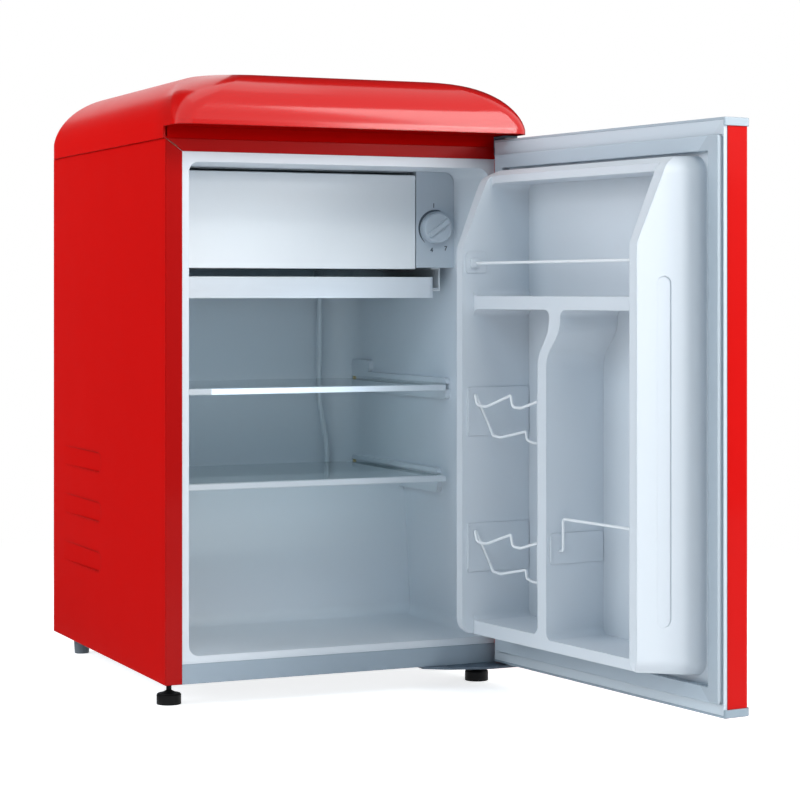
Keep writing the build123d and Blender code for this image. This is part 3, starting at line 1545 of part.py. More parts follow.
with BuildPart() as door_foam:
    with BuildSketch(plan(cap_low_top_z)):
        with BuildLine():
            foam_arc = ThreePointArc(*door_outline(-door_sheet))
            Polyline(foam_arc @ 1, (door_half - door_sheet, out(-frame_depth)),
                     (-door_half + door_sheet, out(-frame_depth)), foam_arc @ 0)
        make_face()
        fillet(vertices().group_by(Axis.Y)[0], radius=door_edge_round - door_sheet)
    extrude(amount=cap_high_low_z - cap_low_top_z)
    with BuildSketch(elevation(out(-frame_depth))):
        rounded(across(dike_inner_free) - pocket_margin, across(dike_inner_hinge) + pocket_margin,
                can_floor_z - pocket_corner, top_pocket_high_z + pocket_margin, pocket_corner)
    extrude(amount=recess_depth + liner_wall - frame_depth, mode=Mode.SUBTRACT)
    with BuildSketch(plan(door_bottom_z)):
        with Locations((pivot_x, pivot_y)):
            Circle(bush_radius)
    extrude(amount=bush_length, mode=Mode.SUBTRACT)
    with BuildSketch(plan(door_top_z)):
        with Locations((pivot_x, pivot_y)):
            Circle(bush_radius)
    extrude(amount=-bush_length, mode=Mode.SUBTRACT)
door_foam.part.label = "door_foam"
door_foam.part.move(door_open)
export_step(door_foam.part, "parts/door_foam.step")

# Bracket plates on the walls of the bins
bail_plate_low = door_top_z - bail_plate_drops[0]
bail_plate_high = door_top_z - bail_plate_drops[1]
with BuildPart() as shelf_bail_brackets:
    for wall, hand in ((dike_inner_hinge, -1), (dike_inner_free, 1)):
        with BuildSketch(side(across(wall))):
            rounded(out(bail_plate_v[0]), out(bail_plate_v[1]), bail_plate_low, bail_plate_high, plate_round)
        extrude(amount=hand * bracket_wall)
        # Hook that holds the end of the bail
        with BuildSketch(side(across(wall) + hand * bracket_wall)):
            rounded(out(bail_plate_v[1] - bail_hook_v[0]), out(bail_plate_v[1] - bail_hook_v[1]),
                    bail_plate_low + bail_hook_margins[0], bail_plate_high - bail_hook_margins[1],
                    bracket_corner)
        extrude(amount=hand * bail_hook_height)
shelf_bail_brackets.part.label = "shelf_bail_brackets"
shelf_bail_brackets.part.move(door_open)
export_step(shelf_bail_brackets.part, "parts/shelf_bail_brackets.step")


def lipped_plate(wall, hand, reach, low, high):
    """Plate on a bin's wall with a raised lip along its front edge."""
    with BuildPart() as plate:
        with BuildSketch(side(across(wall))):
            rounded(out(reach[0]), out(reach[1]), low, high, plate_round)
        extrude(amount=hand * bracket_wall)
        with BuildSketch(side(across(wall))):
            rectangle(out(reach[1] - plate_lip_width), out(reach[1]), low + plate_round, high - plate_round)
        extrude(amount=hand * plate_lip_height)
    return plate.part


with BuildPart() as can_rack_brackets:
    for rise in can_plate_rises:
        plate_low = door_bottom_z + rise
        plate_high = plate_low + can_plate_height
        add(lipped_plate(dike_inner_hinge, -1, can_plate_v, plate_low, plate_high))
        add(lipped_plate(divider_left, 1, divider_plate_v, plate_low - divider_plate_drop, plate_high))
can_rack_brackets.part.label = "can_rack_brackets"
can_rack_brackets.part.move(door_open)
export_step(can_rack_brackets.part, "parts/can_rack_brackets.step")

bottle_plate_low = door_bottom_z + bottle_plate_rise
bottle_plate_high = bottle_plate_low + bottle_plate_height
with BuildPart() as bottle_bail_brackets:
    for wall, hand in ((divider_right, -1), (dike_inner_free, 1)):
        add(lipped_plate(wall, hand, bottle_plate_v, bottle_plate_low, bottle_plate_high))
bottle_bail_brackets.part.label = "bottle_bail_brackets"
bottle_bail_brackets.part.move(door_open)
export_step(bottle_bail_brackets.part, "parts/bottle_bail_brackets.step")


def door_points(*places):
    """Points on the shut door, each given by its distance from the hinge edge, its reach and its height."""
    return [(across(u), out(v), z) for u, v, z in places]


bail_z = door_top_z - bail_drop
bail_near = dike_inner_hinge + bracket_wall + bail_end_play
bail_far = dike_inner_free - bracket_wall - bail_end_play
crank_start, crank_end, crank_drop = bail_crank
with BuildPart() as top_shelf_bail:
    with BuildLine():
        FilletPolyline(
            *door_points(
                (bail_near, bail_v, bail_z),
                (bail_far - crank_start, bail_v, bail_z),
                (bail_far - crank_end, bail_v, bail_z - crank_drop),
                (bail_far, bail_v, bail_z - crank_drop),
            ),
            radius=bail_bend,
        )
    with BuildSketch(side(across(bail_near))):
        with Locations((out(bail_v), bail_z)):
            Circle(wire_radius)
    sweep()
top_shelf_bail.part.label = "top_shelf_bail"
top_shelf_bail.part.move(door_open)
export_step(top_shelf_bail.part, "parts/top_shelf_bail.step")

# Can racks: a front wire that cradles two cans, a corner down the hinge side, and a lower back wire
rack_near = dike_inner_hinge + bracket_wall + wire_gap + wire_radius
rack_end = divider_left - bracket_wall
rack_far = rack_end - rack_end_straight


def rack_run(reach, base_z, wave, dip):
    """Bends of one wire of a rack from its far end to its near end, as width, reach, height and radius."""
    lean = rack_splay / (rack_far - rack_near)
    run = [(rack_far - u, reach + lean * u, base_z + z, bend) for u, z, bend in wave]
    width, height, bend = dip
    return run + [(rack_near + width, reach + rack_splay, base_z + height, bend)]


for name, plate_rise in zip(("upper_can_rack", "lower_can_rack"), can_plate_rises):
    rack_z = door_bottom_z + plate_rise
    front_run = rack_run(rack_front_v, rack_z, rack_front_wave, rack_front_dip)
    back_run = rack_run(rack_back_v, rack_z, rack_back_wave, rack_back_dip)
    corner_turns = [
        (rack_near, rack_front_v + rack_splay, rack_z + rack_corner_rise, rack_corner_bend),
        (rack_near, rack_back_v + rack_splay, rack_z + rack_back_corner_rise, rack_corner_bend),
    ]
    turns = front_run + corner_turns + list(reversed(back_run))
    wire_start = (rack_end, *turns[0][1:3])
    wire_stop = (rack_end, rack_back_v, turns[-1][2])
    with BuildPart() as can_rack:
        with BuildLine():
            FilletPolyline(
                *door_points(wire_start, *[turn[:3] for turn in turns], wire_stop),
                radius=[turn[3] for turn in turns],
            )
        with BuildSketch(side(across(rack_end))):
            with Locations((out(wire_start[1]), wire_start[2])):
                Circle(wire_radius)
        sweep()
    can_rack.part.label = name
    can_rack.part.move(door_open)
    export_step(can_rack.part, "parts/" + name + ".step")

bottle_low_z = door_bottom_z + bottle_bail_rise
bottle_high_z = bottle_low_z + bottle_bail_height
bottle_near = divider_right + bracket_wall
bottle_far = dike_inner_free - bracket_wall
with BuildPart() as bottle_bail:
    with BuildLine():
        FilletPolyline(
            *door_points(
                (bottle_near, bottle_v, bottle_low_z),
                (bottle_near + bottle_bail_crank, bottle_v, bottle_low_z),
                (bottle_near + bottle_bail_crank, bottle_v, bottle_high_z),
                (bottle_far - bottle_bail_crank, bottle_v, bottle_high_z),
                (bottle_far - bottle_bail_crank, bottle_v, bottle_low_z),
                (bottle_far, bottle_v, bottle_low_z),
            ),
            radius=bottle_bail_bend,
        )
    with BuildSketch(side(across(bottle_near))):
        with Locations((out(bottle_v), bottle_low_z)):
            Circle(wire_radius)
    sweep()
bottle_bail.part.label = "bottle_bail"
bottle_bail.part.move(door_open)
export_step(bottle_bail.part, "parts/bottle_bail.step")
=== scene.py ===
"""A red retro mini fridge: finishes, small fittings and a studio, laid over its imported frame.

Lengths are metres in the frame's own axes: X runs across the cabinet, Y from its front to its back, Z up from
the floor.
"""

from __future__ import annotations

import logging
import math
from abc import ABC, abstractmethod
from dataclasses import dataclass
from enum import Enum
from functools import lru_cache
from typing import Any, Sequence, Union

import bmesh
import bpy
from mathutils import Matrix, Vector


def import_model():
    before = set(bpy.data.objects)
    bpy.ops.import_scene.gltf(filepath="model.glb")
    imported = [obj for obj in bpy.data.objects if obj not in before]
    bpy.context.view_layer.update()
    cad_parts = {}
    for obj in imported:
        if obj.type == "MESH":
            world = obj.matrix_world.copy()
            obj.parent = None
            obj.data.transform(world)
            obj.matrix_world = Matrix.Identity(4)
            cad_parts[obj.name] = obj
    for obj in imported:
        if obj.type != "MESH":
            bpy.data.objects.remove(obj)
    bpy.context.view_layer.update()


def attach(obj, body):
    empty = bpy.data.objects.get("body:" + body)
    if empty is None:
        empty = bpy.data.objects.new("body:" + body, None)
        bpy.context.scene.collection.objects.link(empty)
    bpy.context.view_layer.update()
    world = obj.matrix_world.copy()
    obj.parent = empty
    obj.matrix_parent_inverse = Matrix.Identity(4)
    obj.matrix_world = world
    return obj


LOG = logging.getLogger("mini_fridge")

# The door's line on the plan: its hinge pin, the way it runs from there and its free end
HINGE_X, HINGE_Y = 0.231, -0.281
HINGE_INSET = 0.012
HINGE_BACK = -0.009
DOOR_ANGLE = math.radians(96.8)
DOOR_RUN = (-math.cos(DOOR_ANGLE), -math.sin(DOOR_ANGLE))
DOOR_IN = (-math.sin(DOOR_ANGLE), math.cos(DOOR_ANGLE))
DOOR_WIDTH = 0.486
DOOR_FOOT, DOOR_TOP = 0.035, 0.738

# The condenser's upright runs, just inside the back panel
CONDENSER_PITCH = 0.08
CONDENSER_EDGE = 0.2
CONDENSER_LOW, CONDENSER_HIGH = 0.262, 0.7

Colour = tuple[float, float, float]
Point = tuple[float, float, float]
Pair = tuple[float, float]

WHITE: Colour = (1.0, 1.0, 1.0)
UNSTRETCHED: Point = (1.0, 1.0, 1.0)
EDGE_SAMPLES = 4


def srgb(red: int, green: int, blue: int) -> Colour:
    """Turns a colour of 0 to 255 as a screen shows it into the linear light that shaders take.

    Args:
        red: Red as shown.
        green: Green as shown.
        blue: Blue as shown.

    Returns:
        The three linear values.
    """

    def linear(level: int) -> float:
        """One channel, from the screen's curve to linear light."""
        share = level / 255
        return share / 12.92 if share <= 0.04045 else ((share + 0.055) / 1.055) ** 2.4

    return linear(red), linear(green), linear(blue)


def darker(colour: Colour, share: float) -> Colour:
    """A colour that keeps only a share of its light.

    Args:
        colour: The colour.
        share: What is kept of it, from 0 to 1.

    Returns:
        The darker colour.
    """
    return tuple(share * level for level in colour)


# ---------------------------------------------------------------- shader maths


class Signal:
    """A value on its way through a material, which Python's operators work on by adding Math nodes."""

    def __init__(self, paint: Paint, socket: bpy.types.NodeSocket) -> None:
        """Wraps one output socket.

        Args:
            paint: The material that the socket belongs to.
            socket: The output that carries the value.
        """
        self.paint = paint
        self.socket = socket

    def math(self, operation: str, *others: Number) -> Signal:
        """Adds a Math node that takes this value first.

        Args:
            operation: The Math node's operation.
            *others: Its second and third values.

        Returns:
            The result.
        """
        inputs = dict(enumerate((self, *others)))
        return self.paint.signal("ShaderNodeMath", {"operation": operation}, inputs)

    def _reflected(self, operation: str, first: Number) -> Signal:
        """The same Math node with this value second."""
        return self.paint.signal("ShaderNodeMath", {"operation": operation}, {0: first, 1: self})

    def __add__(self, other: Number) -> Signal:
        """self + other."""
        return self.math("ADD", other)

    def __radd__(self, other: Number) -> Signal:
        """other + self."""
        return self._reflected("ADD", other)

    def __sub__(self, other: Number) -> Signal:
        """self - other."""
        return self.math("SUBTRACT", other)

    def __rsub__(self, other: Number) -> Signal:
        """other - self."""
        return self._reflected("SUBTRACT", other)

    def __mul__(self, other: Number) -> Signal:
        """self * other."""
        return self.math("MULTIPLY", other)

    def __rmul__(self, other: Number) -> Signal:
        """other * self."""
        return self._reflected("MULTIPLY", other)

    def __truediv__(self, other: Number) -> Signal:
        """self / other."""
        return self.math("DIVIDE", other)

    def clamped(self) -> Signal:
        """The value held between 0 and 1."""
        return self.math("MAXIMUM", 0.0).math("MINIMUM", 1.0)

    def step(self, low: float, high: float) -> Signal:
        """Turns the value into a smooth mask.

        Args:
            low: The value that gives 0.
            high: The value that gives 1.

        Returns:
            The mask, from 0 to 1.
        """
        settings = {"interpolation_type": "SMOOTHSTEP"}
        return self.paint.signal("ShaderNodeMapRange", settings, {"Value": self, 1: low, 2: high})


Number = Union[float, int, Signal]
Owner = Union[bpy.types.Material, bpy.types.World]
Input = Union[float, int, tuple, Signal, bpy.types.NodeSocket]
Inputs = dict[Any, Input]


class Ray(Enum):
    """The kinds of ray that a material or the room treats apart, by their outputs on the Light Path node."""

    CAMERA = "Is Camera Ray"
    SHADOW = "Is Shadow Ray"
    DIFFUSE = "Is Diffuse Ray"
    GLOSSY = "Is Glossy Ray"
    TRANSMISSION = "Is Transmission Ray"


SIGHT = (Ray.CAMERA, Ray.GLOSSY, Ray.TRANSMISSION)


class Paint:
    """One material's or world's node tree, and the few ways in which this fridge's finishes add to it."""

    def __init__(self, owner: Owner, output: str = "ShaderNodeOutputMaterial") -> None:
        """Empties an owner's node tree and gives it an output.

        Args:
            owner: The material or world that holds the nodes.
            output: The output node's type.
        """
        self.owner = owner
        owner.use_nodes = True
        self.tree = owner.node_tree
        self.tree.nodes.clear()
        self.output = self.node(output)

    def node(
        self, kind: str, settings: dict[str, Any] | None = None, inputs: Inputs | None = None
    ) -> bpy.types.Node:
        """Adds a node.

        Args:
            kind: The node's type.
            settings: Its properties, set first.
            inputs: Values or links, by socket name or number.

        Returns:
            The node.
        """
        made = self.tree.nodes.new(kind)
        for name, value in (settings or {}).items():
            setattr(made, name, value)
        for name, value in (inputs or {}).items():
            target = made.inputs[name]
            if isinstance(value, Signal):
                self.tree.links.new(value.socket, target)
            elif isinstance(value, bpy.types.NodeSocket):
                self.tree.links.new(value, target)
            elif isinstance(value, tuple) and len(target.default_value) == 4:
                target.default_value = (*value[:3], 1.0)
            else:
                target.default_value = value
        return made

    def signal(
        self,
        kind: str,
        settings: dict[str, Any] | None = None,
        inputs: Inputs | None = None,
        output: int | str = 0,
    ) -> Signal:
        """Adds a node and wraps one of its outputs as a value.

        Args:
            kind: The node's type.
            settings: Its properties, set first.
            inputs: Values or links, by socket name or number.
            output: The output's name or number.

        Returns:
            The value.
        """
        return Signal(self, self.node(kind, settings, inputs).outputs[output])

    def place(self, scale: Point = UNSTRETCHED) -> bpy.types.NodeSocket:
        """The surface's place in the frame, in metres.

        Args:
            scale: Stretch of each axis, for grain that runs one way.

        Returns:
            The vector socket.
        """
        where = self.node("ShaderNodeTexCoord").outputs["Object"]
        if scale == UNSTRETCHED:
            return where
        return self.node("ShaderNodeMapping", None, {"Vector": where, "Scale": scale}).outputs[0]

    def axes(self) -> tuple[Signal, Signal, Signal]:
        """The surface's X, Y and Z in the frame, in metres."""
        parts = self.node("ShaderNodeSeparateXYZ", None, {0: self.place()})
        return tuple(Signal(self, socket) for socket in parts.outputs)

    def noise(self, size: float, detail: float = 2.0, scale: Point = UNSTRETCHED) -> Signal:
        """Soft noise about 0.5.

        Args:
            size: The size of its patches, in metres.
            detail: How many finer layers it has.
            scale: Stretch of each axis.

        Returns:
            The noise.
        """
        inputs = {"Vector": self.place(scale), "Scale": 1.0 / size, "Detail": detail, "Roughness": 0.5}
        return self.signal("ShaderNodeTexNoise", None, inputs)

    def blend(self, factor: Number, first: Input, second: Input) -> bpy.types.NodeSocket:
        """Mixes two colours.

        Args:
            factor: 0 for the first colour, 1 for the second.
            first: A colour or a link.
            second: A colour or a link.

        Returns:
            The colour socket.
        """
        return self.node("ShaderNodeMix", {"data_type": "RGBA"}, {0: factor, 6: first, 7: second}).outputs[2]

    def bump(
        self, height: Number, depth: float, below: bpy.types.NodeSocket | None = None
    ) -> bpy.types.NodeSocket:
        """Raises the surface by a height from 0 to 1.

        Args:
            height: The height's share of the depth.
            depth: The full depth, in metres.
            below: A normal that the bump is laid on.

        Returns:
            The normal socket.
        """
        inputs: Inputs = {"Height": height, "Distance": depth, "Strength": 1.0}
        if below is not None:
            inputs["Normal"] = below
        return self.node("ShaderNodeBump", None, inputs).outputs[0]

    def eased_edges(self, radius: float) -> bpy.types.NodeSocket:
        """A normal that rounds sharp edges over a radius, so that they catch the light."""
        return self.node("ShaderNodeBevel", {"samples": EDGE_SAMPLES}, {"Radius": radius}).outputs[0]

    def worn_edges(self, radius: float, turns: Pair = (0.02, 0.3)) -> Signal:
        """A mask of edges, where a rounded normal turns away from the face's own.

        Args:
            radius: How far from an edge the mask reaches, in metres.
            turns: 1 less the two normals' dot product, where the mask starts and where it is full.

        Returns:
            The mask, 1 on edges and 0 on flat places.
        """
        plain = self.node("ShaderNodeNewGeometry").outputs["Normal"]
        inputs = {0: self.eased_edges(radius), 1: plain}
        along = self.signal("ShaderNodeVectorMath", {"operation": "DOT_PRODUCT"}, inputs, "Value")
        return (1.0 - along).step(*turns)

    def principled(self, **sockets: Input) -> bpy.types.NodeSocket:
        """A Principled surface. An underscore in a name stands for a space.

        Args:
            **sockets: Values or links of its sockets.

        Returns:
            The shader socket.
        """
        inputs = {name.replace("_", " "): value for name, value in sockets.items()}
        return self.node("ShaderNodeBsdfPrincipled", None, inputs).outputs[0]

    def rays(self, *kinds: Ray) -> Signal:
        """A mask that is 1 for some kinds of ray.

        Args:
            *kinds: The kinds.

        Returns:
            The mask.
        """
        path = self.node("ShaderNodeLightPath").outputs
        first, *others = (Signal(self, path[kind.value]) for kind in kinds)
        for other in others:
            first = first.math("MAXIMUM", other)
        return first

    def mixed(self, factor: Number, first: bpy.types.Node, second: bpy.types.Node) -> bpy.types.Node:
        """Goes from one shader to another.

        Args:
            factor: 0 for the first shader, 1 for the second.
            first: The first shader's node.
            second: The second shader's node.

        Returns:
            The Mix Shader node.
        """
        return self.node("ShaderNodeMixShader", None, {0: factor, 1: first.outputs[0], 2: second.outputs[0]})

    def done(self, surface: bpy.types.NodeSocket) -> Owner:
        """Joins the surface to the output and gives what holds the nodes."""
        self.tree.links.new(surface, self.output.inputs["Surface"])
        return self.owner


# ---------------------------------------------------------------- finishes


@dataclass(frozen=True)
class Finish(ABC):
    """What one of the fridge's surfaces is made of."""

    name: str
    colour: Colour

    @abstractmethod
    def build(self, paint: Paint) -> bpy.types.NodeSocket:
        """Adds the finish's nodes.

        Args:
            paint: The material.

        Returns:
            The shader socket.
        """

    def tone(self, paint: Paint, size: float, spread: float) -> bpy.types.NodeSocket:
        """The colour with slow light and dark patches.

        Args:
            paint: The material.
            size: The patches' size, in metres.
            spread: How far the darkest patch falls below the colour, from 0 to 1.

        Returns:
            The colour socket.
        """
        return paint.blend(paint.noise(size), self.colour, darker(self.colour, 1 - spread))


@lru_cache(maxsize=None)
def material_of(finish: Finish) -> bpy.types.Material:
    """The one material that stands for a finish.

    Args:
        finish: The finish.

    Returns:
        The material, made when it is first asked for.
    """
    paint = Paint(bpy.data.materials.new(finish.name))
    return paint.done(finish.build(paint))


@dataclass(frozen=True)
class Enamel(Finish):
    """Sprayed and baked gloss paint on sheet steel, with a faint orange peel under its clear top.

    Each pair gives where a mask starts and where it is full: along Y for the polished front, the front flange
    and the front end of the recesses, and up Z for their foot and head. The colour carries painted shade on
    faces that look down, along the recesses' edges and on the front flange.
    """

    roughness: float = 0.3
    haze: float = 0.08
    haze_size: float = 0.09
    patch_size: float = 0.3
    patch_spread: float = 0.06
    peel_size: float = 0.0035
    peel_depth: float = 0.000008
    dust: float = 0.12
    dust_size: float = 0.0011
    dust_levels: Pair = (0.68, 0.8)
    edge: float = 0.0016
    deepest: float = 0.5
    # How far faces that look down are darkened, as painted shade
    under_shade: float = 0.6
    under_slopes: Pair = (0.03, 0.4)
    sheen: float = 0.06
    coat: float = 0.12
    coat_roughness: float = 0.08
    front_coat: float = 0.0
    front_depths: Pair = (-0.285, -0.215)
    # How far the recesses' edges are darkened, as painted shade
    crease_shade: float = 0.65
    crease_width: float = 0.005
    recess_front: Pair = (0.0, 0.01)
    recess_foot: Pair = (0.13, 0.14)
    recess_head: Pair = (0.33, 0.34)
    # How far the front flange is darkened, as painted shade
    flange_shade: float = 0.0
    flange_depths: Pair = (-0.2594, -0.259)

    def build(self, paint: Paint) -> bpy.types.NodeSocket:
        """Adds the paint's nodes.

        Args:
            paint: The material.

        Returns:
            The shader socket.
        """
        eased = paint.eased_edges(self.edge)
        dust = paint.noise(self.dust_size).step(*self.dust_levels) * self.dust
        upright = Signal(paint, paint.node("ShaderNodeSeparateXYZ", None, {0: eased}).outputs[2])
        # Faces that look down are darkened as painted shade and lose their clear top
        under = (0.0 - upright).step(*self.under_slopes)
        # Dust is the paint's own darkening; the rest of this darkening is painted shade
        shade = (dust + under * self.under_shade + self.painted_crease_shade(paint)).clamped()
        tone = self.tone(paint, self.patch_size, self.patch_spread)
        return paint.principled(
            Base_Color=paint.blend(shade, tone, darker(self.colour, self.deepest)),
            Roughness=self.roughness + self.haze * paint.noise(self.haze_size, detail=3.0),
            Specular_IOR_Level=self.sheen,
            Normal=paint.bump(paint.noise(self.peel_size, detail=1.0), self.peel_depth, eased),
            Coat_Weight=self.polish(paint) * (1.0 - under),
            Coat_Roughness=self.coat_roughness,
        )

    def painted_crease_shade(self, paint: Paint) -> Signal:
        """Painted shade along the edges of the sides' pressed recesses, and on the front flange.

        Args:
            paint: The material.

        Returns:
            How far the paint goes to its deepest colour.
        """
        _, y, z = paint.axes()
        recesses = y.step(*self.recess_front) * z.step(*self.recess_foot) * (1.0 - z.step(*self.recess_head))
        flange = (1.0 - y.step(*self.flange_depths)) * self.flange_shade
        return paint.worn_edges(self.crease_width) * recesses * self.crease_shade + flange

    def polish(self, paint: Paint) -> Number:
        """The clear top's weight, which is full on a polished front and thin behind it.

        Args:
            paint: The material.

        Returns:
            The weight.
        """
        if self.front_coat <= 0:
            return self.coat
        _, y, _ = paint.axes()
        return self.coat + (self.front_coat - self.coat) * (1.0 - y.step(*self.front_depths))


@dataclass(frozen=True)
class Moulded(Finish):
    """Injection moulded or vacuum formed plastic, with a fine grain and a slightly uneven sheen."""

    roughness: float = 0.38
    unevenness: float = 0.1
    sheen_size: float = 0.05
    patch_size: float = 0.16
    patch_spread: float = 0.035
    grain_size: float = 0.0011
    grain_depth: float = 0.00001
    edge: float = 0.0015
    gloss: float = 0.4

    def base(self, paint: Paint) -> bpy.types.NodeSocket:
        """The plastic's colour."""
        return self.tone(paint, self.patch_size, self.patch_spread)

    def build(self, paint: Paint) -> bpy.types.NodeSocket:
        """Adds the plastic's nodes.

        Args:
            paint: The material.

        Returns:
            The shader socket.
        """
        grain = paint.noise(self.grain_size)
        return paint.principled(
            Base_Color=self.base(paint),
            Roughness=self.roughness + self.unevenness * (paint.noise(self.sheen_size) - 0.5),
            Specular_IOR_Level=self.gloss,
            Normal=paint.bump(grain, self.grain_depth, paint.eased_edges(self.edge)),
        )


@dataclass(frozen=True)
class DoorTrim(Moulded):
    """The door's flat frame and gasket, whose strip at the free end is darkened up to its mitres as painted
    shade.
    """

    # How far the free end's strip is darkened, as painted shade
    depth: float = 0.14
    mitre_blur: float = 0.0004

    def base(self, paint: Paint) -> bpy.types.NodeSocket:
        """The plastic's colour, with painted shade on the free end's strip up to the mitres.

        Args:
            paint: The material.

        Returns:
            The colour socket.
        """
        x, y, z = paint.axes()
        along = (x - HINGE_X) * DOOR_RUN[0] + (y - HINGE_Y) * DOOR_RUN[1] + HINGE_INSET
        to_end = DOOR_WIDTH - along
        to_rail = (DOOR_TOP - z).math("MINIMUM", z - DOOR_FOOT)
        beyond = (to_rail - to_end).step(-self.mitre_blur, self.mitre_blur)
        return paint.blend(beyond, super().base(paint), darker(self.colour, 1 - self.depth))


@dataclass(frozen=True)
class Polished(Finish):
    """Bright plated or zinc coated steel, with fine rolling lines."""

    roughness: float = 0.28
    metallic: float = 1.0
    patch_size: float = 0.05
    patch_spread: float = 0.12
    line_size: float = 0.0006
    line_stretch: Point = (1.0, 1.0, 0.04)
    line_depth: float = 0.000012
    line_haze: float = 0.12
    edge: float = 0.0006
    spangle: float = 0.0
    spangle_tone: float = 0.55
    spangle_scale: float = 90.0
    bead_depth: float = 0.0
    bead_profile: Pair = (0.0015, 0.009)
    bead_run_out: float = 0.02
    bead_side: float = 0.006

    def build(self, paint: Paint) -> bpy.types.NodeSocket:
        """Adds the metal's nodes.

        Args:
            paint: The material.

        Returns:
            The shader socket.
        """
        lines = paint.noise(self.line_size, scale=self.line_stretch)
        tone = self.tone(paint, self.patch_size, self.patch_spread)
        if self.spangle > 0:
            inputs = {"Vector": paint.place(), "Scale": self.spangle_scale}
            cells = paint.signal("ShaderNodeTexVoronoi", None, inputs, "Distance")
            tone = paint.blend(cells * self.spangle, tone, darker(self.colour, self.spangle_tone))
        normal = paint.bump(lines, self.line_depth, paint.eased_edges(self.edge))
        if self.bead_depth > 0:
            normal = paint.bump(self.beads(paint), self.bead_depth, normal)
        return paint.principled(
            Base_Color=tone,
            Metallic=self.metallic,
            Roughness=self.roughness + self.line_haze * lines,
            Normal=normal,
        )

    def beads(self, paint: Paint) -> Signal:
        """The upright ridges that the condenser's runs leave in the sheet over them.

        Args:
            paint: The material.

        Returns:
            The ridges' height, from 0 to 1.
        """
        x, _, z = paint.axes()
        from_run = (0.5 - (x / CONDENSER_PITCH).math("PINGPONG", 0.5)) * CONDENSER_PITCH
        above = z.step(CONDENSER_LOW, CONDENSER_LOW + self.bead_run_out)
        below = 1.0 - z.step(CONDENSER_HIGH - self.bead_run_out, CONDENSER_HIGH)
        across = 1.0 - x.math("ABSOLUTE").step(CONDENSER_EDGE, CONDENSER_EDGE + self.bead_side)
        return (1.0 - from_run.step(*self.bead_profile)) * above * below * across


@dataclass(frozen=True)
class Coated(Finish):
    """Plastic coated steel wire: thick, soft-edged and slightly uneven."""

    roughness: float = 0.3
    unevenness: float = 0.15
    patch_size: float = 0.03
    patch_spread: float = 0.05
    drip_size: float = 0.012
    drip_depth: float = 0.0002
    coat: float = 0.25

    def build(self, paint: Paint) -> bpy.types.NodeSocket:
        """Adds the coating's nodes.

        Args:
            paint: The material.

        Returns:
            The shader socket.
        """
        drips = paint.noise(self.drip_size)
        return paint.principled(
            Base_Color=self.tone(paint, self.patch_size, self.patch_spread),
            Roughness=self.roughness + self.unevenness * drips,
            Normal=paint.bump(drips, self.drip_depth),
            Coat_Weight=self.coat,
        )


@dataclass(frozen=True)
class Painted(Finish):
    """Dull black or grey paint on pressed steel, chipped back to the metal on its edges."""

    roughness: float = 0.5
    unevenness: float = 0.2
    patch_size: float = 0.04
    patch_spread: float = 0.2
    speckle_size: float = 0.0016
    speckle_depth: float = 0.00004
    bare: Colour = (0.32, 0.32, 0.33)
    bare_metallic: float = 0.8
    chip_reach: float = 0.0009
    chip_size: float = 0.006
    chip_levels: Pair = (0.5, 0.72)

    def build(self, paint: Paint) -> bpy.types.NodeSocket:
        """Adds the paint's nodes.

        Args:
            paint: The material.

        Returns:
            The shader socket.
        """
        speckle = paint.noise(self.speckle_size, detail=3.0)
        flaking = paint.noise(self.chip_size, detail=3.0).step(*self.chip_levels)
        chips = (paint.worn_edges(self.chip_reach) * flaking).clamped()
        tone = self.tone(paint, self.patch_size, self.patch_spread)
        return paint.principled(
            Base_Color=paint.blend(chips, tone, self.bare),
            Metallic=chips * self.bare_metallic,
            Roughness=self.roughness + self.unevenness * (speckle - 0.5),
            Normal=paint.bump(speckle, self.speckle_depth),
        )


@dataclass(frozen=True)
class Rubber(Finish):
    """Soft vinyl or rubber, matt and mottled with a light bloom."""

    roughness: float = 0.6
    unevenness: float = 0.15
    mottle_size: float = 0.004
    mottle_depth: float = 0.00005
    bloom: float = 0.12
    bloom_lift: float = 0.06

    def build(self, paint: Paint) -> bpy.types.NodeSocket:
        """Adds the rubber's nodes.

        Args:
            paint: The material.

        Returns:
            The shader socket.
        """
        mottle = paint.noise(self.mottle_size, detail=4.0)
        pale = tuple(min(1.0, level + self.bloom_lift) for level in self.colour)
        return paint.principled(
            Base_Color=paint.blend((mottle * self.bloom).clamped(), self.colour, pale),
            Roughness=self.roughness + self.unevenness * (mottle - 0.5),
            Normal=paint.bump(mottle, self.mottle_depth),
        )


@dataclass(frozen=True)
class Copper(Finish):
    """Drawn copper tube, brown where it was heated and handled."""

    brown: Colour = (0.16, 0.06, 0.03)
    stain_size: float = 0.02
    stain_levels: Pair = (0.45, 0.7)
    stain_haze: float = 0.3
    roughness: float = 0.28
    metallic: float = 0.9
    scratch_size: float = 0.0008
    scratch_depth: float = 0.00001

    def build(self, paint: Paint) -> bpy.types.NodeSocket:
        """Adds the copper's nodes.

        Args:
            paint: The material.

        Returns:
            The shader socket.
        """
        stain = paint.noise(self.stain_size, detail=4.0)
        return paint.principled(
            Base_Color=paint.blend(stain.step(*self.stain_levels), self.colour, self.brown),
            Metallic=self.metallic,
            Roughness=self.roughness + self.stain_haze * stain,
            Normal=paint.bump(paint.noise(self.scratch_size), self.scratch_depth),
        )


